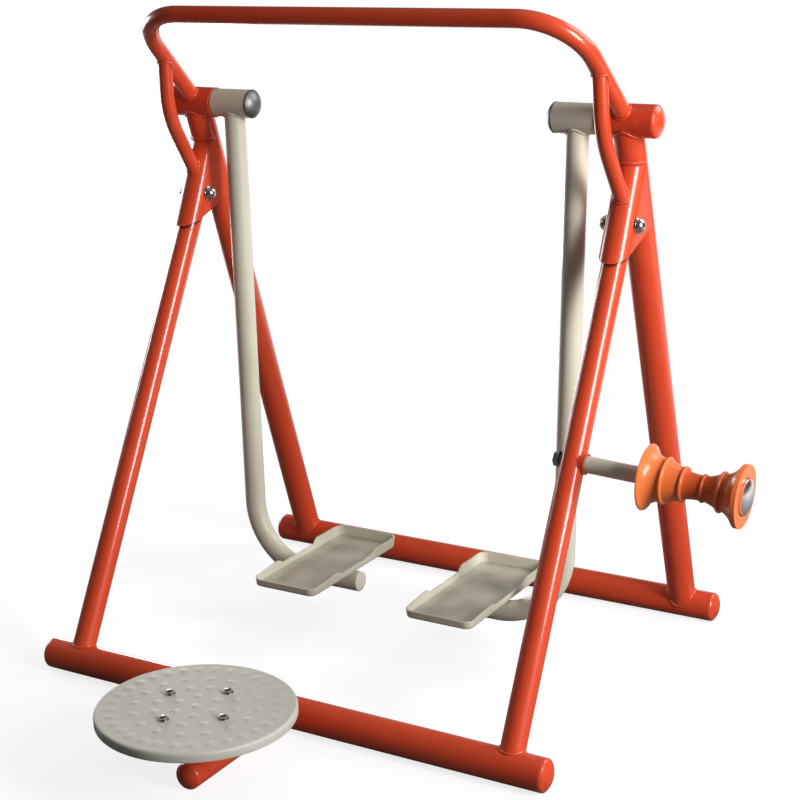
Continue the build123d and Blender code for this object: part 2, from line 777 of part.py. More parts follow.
def roller():
    """Grip roller: a bell, four ridges down to a waist and up again, and a flared end with a flat rim."""
    length = roller_length
    rim_z = length - roller_rim_w
    bush_r = roller_bush_od / 2
    recess_z = length - roller_recess
    corners = [
        (roller_flange_r - roller_shell, 0),
        (roller_flange_r, 0),
        (roller_flange_r - roller_lip_taper, roller_lip),
    ]
    lines = [Polyline(*corners)]
    last = corners[-1]
    # Each ridge is reached by a hollow stretch, or by a straight one
    curves = (bell_curve, None, waist_curve, waist_curve)
    for curve, (height, before, top, after) in zip(curves, roller_ridges):
        foot = (before, height - ridge_w / 2)
        lines.append(RadiusArc(last, foot, curve) if curve else Line(last, foot))
        last = (after, height + ridge_w / 2)
        lines.append(ThreePointArc(foot, (top, height), last))
    flare = (roller_rim_r - roller_rim_step, rim_z)
    lines.append(RadiusArc(last, flare, flare_curve))
    lines.append(Polyline(
        flare,
        (roller_rim_r, rim_z + roller_rim_bevel),
        (roller_rim_r, length),
        (roller_recess_r, length),
        (roller_recess_r, recess_z),
        (bush_r, recess_z),
        (bush_r, roller_cup_depth),
        (roller_cup_r, roller_cup_depth),
        corners[0],
    ))
    body = revolve(Plane.XZ * make_face(lines), axis=Axis.Z)
    return roller_frame() * Pos(0, 0, roller_start) * body


def roller_bushes():
    """Two bushes pressed into the roller."""
    od = roller_bush_od - 2 * press_gap
    bore = roller_axle_d + 2 * running_gap
    near = roller_start + roller_cup_depth
    outer = roller_start + roller_length - roller_recess
    return Compound(children=[
        stub_piece(near, near + roller_bush_l, od, bore),
        stub_piece(outer - roller_bush_l, outer, od, bore),
    ])


def roller_cap():
    """Bright domed cap in the roller's outer end."""
    skirt = roller_cap_skirt
    stand = roller_cap_stand
    top = stand + roller_cap_dome
    inner = roller_cap_r - roller_cap_wall
    lines = [
        crown(roller_cap_r, stand, top),
        Line((0, top), (0, top - roller_cap_wall)),
        crown(inner, stand, top - roller_cap_wall),
        Line((inner, stand), (inner, -skirt)),
        Line((inner, -skirt), (roller_recess_r - press_gap, -skirt)),
        Line((roller_recess_r - press_gap, -skirt), (roller_recess_r - press_gap, roller_cap_wall - skirt)),
        Line((roller_recess_r - press_gap, roller_cap_wall - skirt), (roller_cap_r, roller_cap_wall - skirt)),
        Line((roller_cap_r, roller_cap_wall - skirt), (roller_cap_r, stand)),
    ]
    cap = revolve(Plane.XZ * make_face(lines), axis=Axis.Z)
    return roller_frame() * Pos(0, 0, roller_start + roller_length) * cap


def left(part):
    """Mirror image on the left side."""
    return mirror(part, about=Plane.YZ)


def frame_nodes():
    """Pieces of the standing frame."""
    studs, washers, cap_nuts = socket_fasteners()
    roller_washers, roller_nuts = roller_fasteners()
    plain_leg = front_leg()
    axle_hole = stub_rod(-front_leg_od, front_leg_od, roller_axle_d + hole_clearance)
    rings = support_rings()
    spacers = axle_spacers()
    return {
        "front_base_tube": base_tube(front_base_y),
        "rear_base_tube": base_tube(rear_base_y),
        "base_end_caps": base_end_caps(),
        "front_leg_left": left(plain_leg),
        "front_leg_right": plain_leg - axle_hole,
        "rear_leg_left": left(rear_leg()),
        "rear_leg_right": rear_leg(),
        "leg_socket_left": left(leg_socket()),
        "leg_socket_right": leg_socket(),
        "socket_studs": studs,
        "socket_washers": washers,
        "socket_cap_nuts": cap_nuts,
        "axle_housing_left": left(axle_housing()),
        "axle_housing_right": axle_housing(),
        "housing_end_caps": both_sides(housing_cap()),
        "axle_support_rings": Compound(children=rings + [left(piece) for piece in rings]),
        "axle_shaft_left": left(axle_shaft()),
        "axle_shaft_right": axle_shaft(),
        "axle_spacers": Compound(children=spacers + [left(piece) for piece in spacers]),
        "axle_washers": both_sides(axle_washer()),
        "axle_lock_nuts": both_sides(axle_nut()),
        "handlebar": handlebar(),
        "handlebar_strut_left": left(handlebar_strut()),
        "handlebar_strut_right": handlebar_strut(),
        "twister_foot_tube": twister_foot(),
        "twister_foot_cap": twister_foot_cap(),
        "twister_post": twister_post(),
        "twister_bearings": twister_bearings(),
        "roller_boss": roller_boss(),
        "roller_stub_tube": roller_stub(),
        "roller_axle": roller_axle(),
        "roller_axle_washers": roller_washers,
        "roller_axle_nuts": roller_nuts,
    }


def arm_nodes():
    """Pieces of the two swing arms."""
    right_arm = {
        "arm_hub": arm_hub(),
        "hub_bearings": Compound(children=hub_bearings()),
        "hub_cap": hub_cap(),
        "swing_arm": swing_arm(),
        "arm_plug": arm_plug(),
        "pedal_plate": pedal_plate(),
        "pedal": pedal(),
    }
    nodes = {}
    for name, part in right_arm.items():
        nodes[name + "_right"] = part
        nodes[name + "_left"] = left(part)
    return nodes


def twister_nodes():
    """Pieces that turn with the twist disc."""
    bolts, washers, nuts = disc_fasteners()
    return {
        "twister_disc": twister_disc(),
        "twister_spindle": twister_spindle(),
        "twister_spindle_nut": spindle_nut(),
        "disc_bolts": bolts,
        "disc_washers": washers,
        "disc_nuts": nuts,
    }


def roller_nodes():
    """Pieces that turn with the grip roller."""
    return {
        "grip_roller": roller(),
        "roller_bushes": roller_bushes(),
        "roller_cap": roller_cap(),
    }


os.makedirs("parts", exist_ok=True)
nodes = frame_nodes() | arm_nodes() | twister_nodes() | roller_nodes()
for name, part in nodes.items():
    export_step(part, os.path.join("parts", name + ".step"))
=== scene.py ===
import functools
import json
import math

import bmesh
import bpy
from bpy.props import FloatProperty, FloatVectorProperty, IntProperty, PointerProperty
from mathutils import Matrix, Vector

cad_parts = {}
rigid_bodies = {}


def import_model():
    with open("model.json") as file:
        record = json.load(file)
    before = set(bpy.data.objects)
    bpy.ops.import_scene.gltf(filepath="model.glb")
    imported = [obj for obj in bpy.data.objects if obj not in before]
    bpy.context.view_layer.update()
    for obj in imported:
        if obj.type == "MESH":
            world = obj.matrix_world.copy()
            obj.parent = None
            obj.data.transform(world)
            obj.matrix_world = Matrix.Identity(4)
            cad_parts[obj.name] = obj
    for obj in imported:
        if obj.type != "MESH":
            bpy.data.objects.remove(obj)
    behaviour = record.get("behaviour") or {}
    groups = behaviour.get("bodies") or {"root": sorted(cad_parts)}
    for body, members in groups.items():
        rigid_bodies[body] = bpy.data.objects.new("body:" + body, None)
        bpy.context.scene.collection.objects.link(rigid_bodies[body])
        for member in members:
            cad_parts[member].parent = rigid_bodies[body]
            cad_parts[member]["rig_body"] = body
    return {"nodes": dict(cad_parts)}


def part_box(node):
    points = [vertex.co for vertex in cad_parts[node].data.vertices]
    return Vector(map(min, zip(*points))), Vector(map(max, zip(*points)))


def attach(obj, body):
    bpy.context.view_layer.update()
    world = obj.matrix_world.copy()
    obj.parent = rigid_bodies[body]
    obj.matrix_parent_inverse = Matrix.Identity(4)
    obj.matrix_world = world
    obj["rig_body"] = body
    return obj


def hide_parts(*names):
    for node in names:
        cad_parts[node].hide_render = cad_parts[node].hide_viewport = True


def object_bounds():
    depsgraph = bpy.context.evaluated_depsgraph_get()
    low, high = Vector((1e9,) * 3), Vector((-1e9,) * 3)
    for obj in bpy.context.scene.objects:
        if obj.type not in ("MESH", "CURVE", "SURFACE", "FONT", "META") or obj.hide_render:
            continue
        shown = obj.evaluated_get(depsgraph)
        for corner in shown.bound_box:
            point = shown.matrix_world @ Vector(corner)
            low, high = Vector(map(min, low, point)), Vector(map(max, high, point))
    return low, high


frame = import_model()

bl_info = {
    "name": "Outdoor air walker",
    "version": (1, 0, 0),
    "blender": (4, 5, 0),
    "location": "3D View > Sidebar > Air walker",
    "description": "Finishes an outdoor air walker: coats, plastic, bright caps, weld beads and a studio",
    "category": "Object",
}

CAD_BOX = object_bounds()
MM = 0.001


def middle(box):
    """Middle of a box."""
    return (box[0] + box[1]) / 2


def half(box, axis):
    """Half of a box's size along one axis."""
    return (box[1][axis] - box[0][axis]) / 2


# Places read from the frame
FRONT_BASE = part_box("front_base_tube")
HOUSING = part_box("axle_housing_right")
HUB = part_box("arm_hub_right")
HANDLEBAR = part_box("handlebar")
REAR_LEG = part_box("rear_leg_right")
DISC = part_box("twister_disc")
SIDE_X = middle(REAR_LEG).x
BASE_RADIUS = half(FRONT_BASE, 2)
BASE_Z = middle(FRONT_BASE).z
FRONT_Y = middle(FRONT_BASE).y
REAR_Y = middle(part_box("rear_base_tube")).y
AXLE_Z = middle(HOUSING).z
HOUSING_RADIUS = half(HOUSING, 2)
HUB_RADIUS = half(HUB, 2)
FOOT_RADIUS = half(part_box("twister_foot_tube"), 0)
REAR_LEG_RADIUS = half(REAR_LEG, 0)
FRONT_LEG_RADIUS = half(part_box("front_leg_right"), 0)
TRAY_SHEET = 3 * MM
TRAY_FLOOR_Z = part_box("pedal_right")[0].z + TRAY_SHEET

# Sizes that the boxes don't give
FRONT_LEAN = math.radians(27.6)
NOSE_LEAN = math.radians(24.2)
NOSE_RADIUS = REAR_LEG_RADIUS
NOSE_CROSS_Z = 800 * MM
NOSE_EDGE = Vector((0, -75.3, 832)) * MM
NOSE_EDGE_RISE = math.radians(20)
BAR_RADIUS = 16 * MM
BAR_CORNER_X = 455 * MM
STRUT_RADIUS = 14 * MM
STRUT_TOP_Y = -108 * MM
STRUT_KNEE = Vector((466, -99, 1058)) * MM
STRUT_FOOT_Z = 949 * MM
ARM_RADIUS = 21 * MM
ARM_FOOT = Vector((358, 0, 99)) * MM
BOSS_RADIUS = 19 * MM
POST_RADIUS = 24 * MM
ROLLER_AXIS_Z = 505 * MM
ROLLER_DROOP = math.radians(3)
ROLLER_WAY = Vector((math.cos(ROLLER_DROOP), 0, -math.sin(ROLLER_DROOP)))
DISC_SKIRT = 17 * MM
BOLT_RING = 70.71 * MM
BOLT_TURN = math.radians(76)


# Settings

def a_colour(label, description, default):
    """A colour."""
    return FloatVectorProperty(
        name=label, description=description, subtype="COLOR", size=3, min=0, max=1, default=default)


def a_length(label, description, default, least=0.0):
    """A length in metres."""
    return FloatProperty(
        name=label, description=description, unit="LENGTH", min=least, default=default, precision=5)


def a_share(label, description, default, most=1.0):
    """A share from none to a most."""
    return FloatProperty(
        name=label, description=description, subtype="FACTOR", min=0, max=most, default=default)


def an_angle(label, description, default):
    """An angle in radians."""
    return FloatProperty(name=label, description=description, subtype="ANGLE", default=default)


def a_power(label, description, default):
    """A lamp's power in watts."""
    return FloatProperty(name=label, description=description, unit="POWER", min=0, default=default)


class WalkerFinish(bpy.types.PropertyGroup):
    """Colours, films and rounded edges of the walker's surfaces."""

    orange: a_colour("Orange coat", "Colour of the frame's powder coat", (0.80, 0.078, 0.021))
    orange_deep: a_colour("Orange, thick film", "Its colour where the film is thicker", (0.75, 0.066, 0.017))
    cream: a_colour("Cream coat", "Colour of the arms' powder coat", (0.78, 0.755, 0.615))
    cream_deep: a_colour("Cream, thick film", "Its colour where the film is thicker", (0.72, 0.69, 0.545))
    disc: a_colour("Disc plastic", "Colour of the twist disc", (0.66, 0.646, 0.562))
    roller: a_colour("Roller plastic", "Colour of the grip roller", (0.92, 0.205, 0.050))
    # Painted shade colour for the roller's waist
    waist_shade: a_colour("Roller waist shade", "Colour of the roller's waist", (0.66, 0.075, 0.012))
    dust: a_colour("Dust", "Colour of settled dust", (0.62, 0.56, 0.48))
    # Painted shade colour: darkens corners and creases, and paints the shadow line under the leg sockets
    painted_shade: a_colour("Painted Shade", "Colour of the dirt in corners and gaps", (0.055, 0.012, 0.006))
    tread: a_colour("Tread dirt", "Colour of the dirt trodden into the pedals", (0.42, 0.396, 0.325))
    # Width of the painted shadow line under a leg socket
    gap: a_length("Socket shadow", "Width of the dirt line under a leg socket", 9.5 * MM, least=1 * MM)
    peel: a_length("Orange peel", "Depth of the coat's orange-peel texture", 0.03 * MM)
    turned: a_length("Turned edge", "Rounding of tube ends, caps, spindle and roller", 0.8 * MM)
    socket: a_length("Socket edge", "Rounding of the leg sockets' plate", 0.9 * MM)
    pressed: a_length("Pressed edge", "Rounding of hubs, plates, pedals and the roller's boss", 1.0 * MM)
    nut: a_length("Nut edge", "Rounding of the roller's axle nuts", 0.7 * MM)
    washer: a_length("Washer edge", "Rounding of washers and bolt heads", 0.5 * MM)


class WalkerWelds(bpy.types.PropertyGroup):
    """Size of the weld beads."""

    radius: a_length("Bead radius", "Half of a bead's width", 2.8 * MM)
    socket: a_length("Socket bead radius", "Half of the width of the bead over a leg socket", 3.0 * MM)
    boss: a_length("Boss bead radius", "Half of a bead's width at the boss and the post", 1.0 * MM)
    lift: a_length("Socket bead lift", "How far the bead over a socket sits above the corner", 6.5 * MM)
    pitch: a_length("Ripple pitch", "Distance between two ripples", 5.2 * MM, least=1 * MM)
    ripple: a_share("Ripple", "Share by which a bead swells at each ripple", 0.07, most=0.5)
    sides: IntProperty(name="Sides", description="Sides of a bead's section", min=6, max=24, default=10)


class WalkerDisc(bpy.types.PropertyGroup):
    """Sizes of the twist disc's moulding."""

    wall: a_length("Wall", "Thickness of the top and the skirt", 4 * MM, least=1 * MM)
    edge: a_length("Edge", "Radius of the rounded rim", 5 * MM, least=1 * MM)
    pad: a_length("Pad height", "Height of the soft massage pads", 1.5 * MM)
    pad_width: a_length("Pad width", "Width of a pad round the disc", 22 * MM, least=2 * MM)
    pad_length: a_length("Rim pad length", "Length of a rim pad towards the middle", 30 * MM, least=2 * MM)
    ribs: IntProperty(name="Ribs", description="Number of ribs under the disc", min=0, max=24, default=8)


class WalkerStudio(bpy.types.PropertyGroup):
    """Camera, lights and floor."""

    eye: FloatVectorProperty(
        name="Camera", description="Where the camera stands", subtype="TRANSLATION", size=3,
        default=(1.6016, -2.7774, 1.3936))
    yaw: an_angle("Yaw", "Turn of the camera to the left", math.radians(29.98))
    pitch: an_angle("Pitch", "Tilt of the camera below level", math.radians(15.49))
    roll: an_angle("Roll", "Roll of the camera", -0.0139)
    lens: FloatProperty(
        name="Lens", description="Focal length on a 36 mm sensor", unit="CAMERA", min=1, default=75.09)
    ambient: a_share("Ambient", "Strength of the light from all round", 0.08)
    bounce: a_share("Floor bounce", "How much of its light the floor sends back to the walker", 0.16)
    shadow: a_share("Floor shade", "Depth of the walker's shadow on the floor", 0.30)
    glow: a_share("Floor white", "How white the floor is in the walker's shadow", 0.80)
    tall: a_power("Tall window", "Power of the tall light on the right", 128)
    high: a_power("High light", "Power of the soft light high on the right and behind", 42)
    left: a_power("Left window", "Power of the light on the left", 42)
    rear: a_power("Rear window", "Power of the light on the left and behind", 24)
    top: a_power("Top", "Power of the soft light overhead", 5)


# Meshes

MERGE_DISTANCE = 1e-6  # points closer than this become one
FLAT_ANGLE = math.radians(0.5)  # faces that turn less than this are one flat face
SHARP_ANGLE = math.radians(28)  # edges that turn more than this are rounded
EDGE_SEGMENTS = 3


def new_object(name, data):
    """Object in the scene."""
    thing = bpy.data.objects.new(name, data)
    bpy.context.scene.collection.objects.link(thing)
    return thing


def link_piece(name, bm, body, material):
    """Make an object from a mesh in work, and let it ride on a body."""
    mesh = bpy.data.meshes.new(name)
    bmesh.ops.recalc_face_normals(bm, faces=bm.faces)
    for face in bm.faces:
        face.smooth = True
    bm.to_mesh(mesh)
    bm.free()
    mesh.materials.append(material)
    piece = new_object(name, mesh)
    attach(piece, body)
    return piece


def bridge(bm, first, second):
    """Faces between two closed rings of as many points."""
    count = len(first)
    for i in range(count):
        after = (i + 1) % count
        bm.faces.new((first[i], first[after], second[after], second[i]))


def soften_nodes(names, width, material):
    """Make copies of nodes with their sharp edges rounded, which stand for the nodes."""
    for node in names:
        source = frame["nodes"][node]
        bm = bmesh.new()
        bm.from_mesh(source.data)
        bmesh.ops.remove_doubles(bm, verts=bm.verts, dist=MERGE_DISTANCE)
        bmesh.ops.dissolve_limit(bm, angle_limit=FLAT_ANGLE, verts=bm.verts, edges=bm.edges)
        joined = [edge for edge in bm.edges if len(edge.link_faces) == 2]
        sharp = [edge for edge in joined if edge.calc_face_angle() > SHARP_ANGLE]
        bmesh.ops.bevel(bm, geom=sharp, offset=width, segments=EDGE_SEGMENTS, profile=0.5, affect="EDGES",
                        clamp_overlap=True)
        piece = link_piece(node + "_rounded", bm, source["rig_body"], material)
        piece.modifiers.new("Weighted normals", "WEIGHTED_NORMAL")
        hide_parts(node)


def finish_nodes(names, material):
    """Give nodes a material."""
    for name in names:
        materials = frame["nodes"][name].data.materials
        materials.clear()
        materials.append(material)


def pair(*names):
    """Left and right names of nodes."""
    return [name + side for name in names for side in ("_left", "_right")]


# Shader nodes

GREY = (0.5, 0.5, 0.5, 1)


def feed(tree, socket, value):
    """Link an output to an input, or set the input to a plain value."""
    if isinstance(value, bpy.types.NodeSocket):
        tree.links.new(value, socket)
    else:
        socket.default_value = value


def add(tree, kind, inputs=(), **settings):
    """Add a node with its settings, and feed its inputs by name or number."""
    node = tree.nodes.new(kind)
    for name, value in settings.items():
        setattr(node, name, value)
    for key, value in dict(inputs).items():
        feed(tree, node.inputs[key], value)
    return node


def calc(tree, operation, *values, clamp=False):
    """Result of a math node."""
    return add(tree, "ShaderNodeMath", enumerate(values), operation=operation, use_clamp=clamp).outputs[0]


def vector_calc(tree, operation, *values):
    """Result of a vector math node: a number for a length or a dot product, and else a vector."""
    node = add(tree, "ShaderNodeVectorMath", enumerate(values), operation=operation)
    return node.outputs["Value" if operation in ("LENGTH", "DOT_PRODUCT") else "Vector"]


def part_of(tree, vector, axis):
    """One coordinate of a vector."""
    return add(tree, "ShaderNodeSeparateXYZ", {0: vector}).outputs[axis]


def blend(tree, share, first, second):
    """Mix of two colours."""
    node = add(tree, "ShaderNodeMix", data_type="RGBA")
    sockets = [socket for socket in node.inputs if socket.enabled]
    for socket, value in zip(sockets, (share, first, second)):
        feed(tree, socket, value)
    return next(socket for socket in node.outputs if socket.enabled)


def spread(tree, value, low, high, to_low, to_high):
    """A value mapped from one range to another, and held at its ends."""
    ends = {"Value": value, "From Min": low, "From Max": high, "To Min": to_low, "To Max": to_high}
    return add(tree, "ShaderNodeMapRange", ends).outputs[0]


def noise(tree, vector, scale, detail=2.0, roughness=0.5, distortion=0.0):
    """Noise texture."""
    values = {"Vector": vector, "Scale": scale, "Detail": detail, "Roughness": roughness,
              "Distortion": distortion}
    return add(tree, "ShaderNodeTexNoise", values).outputs["Fac"]


def own_place(tree):
    """A surface's place in its object's own coordinates."""
    return add(tree, "ShaderNodeTexCoord").outputs["Object"]


def socket_kind(value):
    """Kind of socket that holds a value."""
    if isinstance(value, tuple):
        return "NodeSocketColor" if len(value) == 4 else "NodeSocketVector"
    return "NodeSocketFloat"


def node_group(name, inputs, outputs=("Colour", "Roughness", "Height")):
    """Decorator: the function fills a node group with named sockets, once, and returns what it puts out."""
    def wrap(fill):
        @functools.wraps(fill)
        def find():
            if name in bpy.data.node_groups:
                return bpy.data.node_groups[name]
            tree = bpy.data.node_groups.new(name, "ShaderNodeTree")
            for label, default in inputs.items():
                socket = tree.interface.new_socket(label, in_out="INPUT", socket_type=socket_kind(default))
                socket.default_value = default
            for label in outputs:
                kind = socket_kind(GREY if label == "Colour" else 0.0)
                tree.interface.new_socket(label, in_out="OUTPUT", socket_type=kind)
            made = fill(tree, tree.nodes.new("NodeGroupInput").outputs)
            add(tree, "NodeGroupOutput", made)
            return tree
        return find
    return wrap


# Finishes that materials share

@node_group("Paint film", {
    "Colour": GREY, "Thick Colour": GREY, "Dust Colour": GREY, "Dust": 0.1, "Painted Shade Colour": GREY,
    "Painted Shade": 0.8, "Roughness": 0.3,
})
def film_group(tree, given):
    """Paint film: uneven thickness, orange peel, dust on what faces up and painted shade in corners."""
    place = own_place(tree)
    thick = spread(tree, noise(tree, place, 7.0, 3.0), 0.32, 0.70, 0.0, 1.0)
    film = blend(tree, thick, given["Colour"], given["Thick Colour"])
    facing = add(tree, "ShaderNodeNewGeometry").outputs["Normal"]
    upward = spread(tree, part_of(tree, facing, "Z"), 0.35, 1.0, 0.0, 1.0)
    patchy = spread(tree, noise(tree, place, 85.0, 5.0, 0.65), 0.35, 0.75, 0.25, 1.0)
    dusty = calc(tree, "MULTIPLY", calc(tree, "MULTIPLY", upward, patchy), given["Dust"])
    dusted = blend(tree, dusty, film, given["Dust Colour"])
    # Painted shade: ambient occlusion darkens corners and creases towards the shade colour
    hollows = add(tree, "ShaderNodeAmbientOcclusion", {"Distance": 6 * MM}, samples=6).outputs["AO"]
    corner_shade = calc(tree, "MULTIPLY", spread(tree, hollows, 0.25, 0.72, 1.0, 0.0), given["Painted Shade"])
    uneven = spread(tree, noise(tree, place, 38.0, 4.0, 0.6), 0.3, 0.7, -0.05, 0.06)
    rough = calc(tree, "ADD", given["Roughness"], uneven)
    return {
        "Colour": blend(tree, corner_shade, dusted, given["Painted Shade Colour"]),
        "Roughness": calc(tree, "MULTIPLY_ADD", dusty, 0.8, rough),
        "Height": noise(tree, place, 330.0, 1.0, 0.4),
    }


@node_group("Socket shadow", {
    "Colour": GREY, "Dirt And Shade Colour": GREY, "Edge": (0, 0, 0), "Down": (0, 0, -1), "Width": 5 * MM,
}, ["Colour"])
def socket_shadow_group(tree, given):
    """Painted shadow on a leg under the edge of its socket: darkest at a plane, and gone a width below it."""
    offset = vector_calc(tree, "SUBTRACT", own_place(tree), given["Edge"])
    below = vector_calc(tree, "DOT_PRODUCT", offset, given["Down"])
    line = spread(tree, calc(tree, "DIVIDE", below, given["Width"]), 0.55, 1.0, 0.97, 0.0)
    return {"Colour": blend(tree, line, given["Colour"], given["Dirt And Shade Colour"])}


@node_group("Tread dirt", {
    "Colour": GREY, "Dirt And Shade Colour": GREY, "Amount": 0.8, "Height": 0.13, "Roughness": 0.3,
}, ["Colour", "Roughness"])
def tread_group(tree, given):
    """Trodden dirt: patches and smears below a height."""
    place = own_place(tree)
    patches = spread(tree, noise(tree, place, 10.0, 4.0, 0.5, 0.9), 0.36, 0.62, 0.35, 0.85)
    stretched = add(tree, "ShaderNodeMapping", {"Vector": place, "Scale": (0.5, 1.0, 1.0)}).outputs["Vector"]
    smears = spread(tree, noise(tree, stretched, 42.0, 5.0, 0.6, 2.0), 0.52, 0.72, 0.0, 0.28)
    dirt_and_shade = calc(tree, "ADD", patches, smears, clamp=True)
    above = calc(tree, "SUBTRACT", part_of(tree, place, "Z"), given["Height"])
    trodden = calc(tree, "MULTIPLY", dirt_and_shade, spread(tree, above, 0.0, 4 * MM, 1.0, 0.0))
    share = calc(tree, "MULTIPLY", trodden, given["Amount"])
    return {
        "Colour": blend(tree, share, given["Colour"], given["Dirt And Shade Colour"]),
        "Roughness": calc(tree, "MULTIPLY_ADD", share, 0.22, given["Roughness"]),
    }


@node_group("Moulded plastic", {
    "Colour": GREY, "Scuff Colour": GREY, "Scuffs": 0.2, "Roughness": 0.3, "Grain": 900.0,
})
def mould_group(tree, given):
    """Moulded plastic: flow marks, fine grain and scuffs."""
    place = own_place(tree)
    flow = spread(tree, noise(tree, place, 11.0, 4.0, 0.55, 0.8), 0.35, 0.7, 0.0, 0.5)
    marks = spread(tree, noise(tree, place, 70.0, 6.0, 0.7), 0.5, 0.72, 0.0, 1.0)
    scuffed = calc(tree, "MULTIPLY", marks, given["Scuffs"])
    share = calc(tree, "MULTIPLY_ADD", flow, given["Scuffs"], scuffed)
    return {
        "Colour": blend(tree, share, given["Colour"], given["Scuff Colour"]),
        "Roughness": calc(tree, "MULTIPLY_ADD", scuffed, 0.35, given["Roughness"]),
        "Height": noise(tree, place, given["Grain"]),
    }


@node_group("Grip shade", {
    "Colour": GREY, "Waist Shade Colour": GREY, "Point": (0, 0, 0), "Line": (1, 0, 0), "Near": 18 * MM,
    "Far": 36 * MM,
}, ["Colour"])
def waist_shade_group(tree, given):
    """Painted shade: deeper colour towards a line through a point, on the roller's waist."""
    offset = vector_calc(tree, "SUBTRACT", own_place(tree), given["Point"])
    reach = vector_calc(tree, "LENGTH", vector_calc(tree, "CROSS_PRODUCT", offset, given["Line"]))
    waist_shade = spread(tree, reach, given["Near"], given["Far"], 1.0, 0.0)
    return {"Colour": blend(tree, waist_shade, given["Colour"], given["Waist Shade Colour"])}


@node_group("Turned metal", {
    "Colour": GREY, "Tint": GREY, "Roughness": 0.2, "Ring Centre": (0, 0, 0), "Rings": 0.0,
})
def metal_group(tree, given):
    """Bare or plated metal: turning rings about a line along X, cloudy plating and fine pits."""
    place = own_place(tree)
    cloud = spread(tree, noise(tree, place, 120.0, 4.0, 0.6), 0.35, 0.68, 0.0, 1.0)
    offset = vector_calc(tree, "SUBTRACT", place, given["Ring Centre"])
    reach = vector_calc(tree, "LENGTH", vector_calc(tree, "MULTIPLY", offset, (0, 1, 1)))
    turning = {"W": reach, "Scale": 1800.0, "Detail": 3.0}
    lines = add(tree, "ShaderNodeTexNoise", turning, noise_dimensions="1D").outputs["Fac"]
    ringed = calc(tree, "MULTIPLY", lines, given["Rings"])
    pits = noise(tree, place, 260.0, 3.0, 0.6)
    rough = calc(tree, "ADD", given["Roughness"], spread(tree, pits, 0.3, 0.7, -0.04, 0.07))
    return {
        "Colour": blend(tree, cloud, given["Colour"], given["Tint"]),
        "Roughness": calc(tree, "MULTIPLY_ADD", ringed, 0.12, rough),
        "Height": calc(tree, "ADD", ringed, pits),
    }


# Materials

def built_once(name):
    """Decorator: the function builds the material of that name once, and it is found after that."""
    def wrap(build):
        @functools.wraps(build)
        def find():
            return bpy.data.materials.get(name) or build(name)
        return find
    return wrap


def opaque(colour):
    """A colour as a socket takes it."""
    return (*colour, 1)


def darker(colour, share):
    """A share of a colour."""
    return [share * part for part in colour]


def surface(name, group, values, shine, strength, depth):
    """Material with a node group that feeds the colour, roughness and bump of its shader."""
    material = bpy.data.materials.new(name)
    material.use_nodes = True
    tree = material.node_tree
    shader = tree.nodes["Principled BSDF"]
    skin = add(tree, "ShaderNodeGroup", values, node_tree=group).outputs
    bump = add(tree, "ShaderNodeBump", {"Strength": strength, "Distance": depth, "Height": skin["Height"]})
    links = {"Base Color": skin["Colour"], "Roughness": skin["Roughness"], "Normal": bump.outputs["Normal"]}
    for label, value in (shine | links).items():
        feed(tree, shader.inputs[label], value)
    return material


def overlaid(material, group, values):
    """Put a second node group between a material's first group and its shader."""
    tree = material.node_tree
    first = next(node for node in tree.nodes if node.type == "GROUP")
    second = add(tree, "ShaderNodeGroup", values, node_tree=group)
    shader = tree.nodes["Principled BSDF"]
    for label, target in (("Colour", "Base Color"), ("Roughness", "Roughness")):
        if label in second.outputs:
            feed(tree, second.inputs[label], first.outputs[label])
            feed(tree, shader.inputs[target], second.outputs[label])
    return material


def finishes():
    """The settings of colours, films and edges."""
    return bpy.context.scene.walker_finish


def powder_coat(name, colour, thick, roughness, dust, gloss):
    """Coated paint film."""
    film = {
        "Colour": opaque(colour), "Thick Colour": opaque(thick), "Roughness": roughness, "Dust": dust,
        "Dust Colour": opaque(finishes().dust), "Painted Shade Colour": opaque(finishes().painted_shade),
    }
    shine = {"Specular IOR Level": 0.35, "Coat Weight": gloss, "Coat Roughness": 0.04, "Coat IOR": 1.45}
    return surface(name, film_group(), film, shine, strength=0.5, depth=finishes().peel)


def frame_coat(name):
    """The frame's glossy orange-red powder coat."""
    return powder_coat(
        name, finishes().orange, finishes().orange_deep, roughness=0.38, dust=0.02, gloss=0.85)


orange_coat = built_once("orange powder coat")(frame_coat)


@built_once("front leg coat")
def leg_coat(name):
    """The front legs' powder coat, with a painted shadow line under the sockets."""
    down = (0, math.sin(NOSE_EDGE_RISE), -math.cos(NOSE_EDGE_RISE))
    dirt_and_shade = {"Dirt And Shade Colour": opaque(finishes().painted_shade), "Edge": NOSE_EDGE, "Down": down, "Width": finishes().gap}
    return overlaid(frame_coat(name), socket_shadow_group(), dirt_and_shade)


@built_once("cream powder coat")
def cream_coat(name):
    """The swing arms' powder coat."""
    return powder_coat(name, finishes().cream, finishes().cream_deep, roughness=0.36, dust=0.10, gloss=0.5)


@built_once("trodden cream coat")
def trodden_coat(name):
    """The pedals' powder coat, with dirt trodden into the trays."""
    coat = powder_coat(name, finishes().cream, finishes().cream_deep, roughness=0.34, dust=0.06, gloss=0.5)
    return overlaid(coat, tread_group(), {"Dirt And Shade Colour": opaque(finishes().tread), "Height": TRAY_FLOOR_Z})


def plastic(name, colour, scuff, scuffs, roughness, grain, depth, gloss=0.0):
    """Moulded plastic."""
    mould = {"Colour": opaque(colour), "Scuff Colour": opaque(scuff), "Scuffs": scuffs,
             "Roughness": roughness, "Grain": grain}
    shine = {"Specular IOR Level": 0.4, "Coat Weight": gloss, "Coat Roughness": 0.12}
    return surface(name, mould_group(), mould, shine, strength=0.4, depth=depth)


@built_once("cream disc plastic")
def disc_plastic(name):
    """The twist disc's satin plastic."""
    colour = finishes().disc
    return plastic(
        name, colour, darker(colour, 0.86), scuffs=0.3, roughness=0.46, grain=700.0, depth=0.05 * MM)


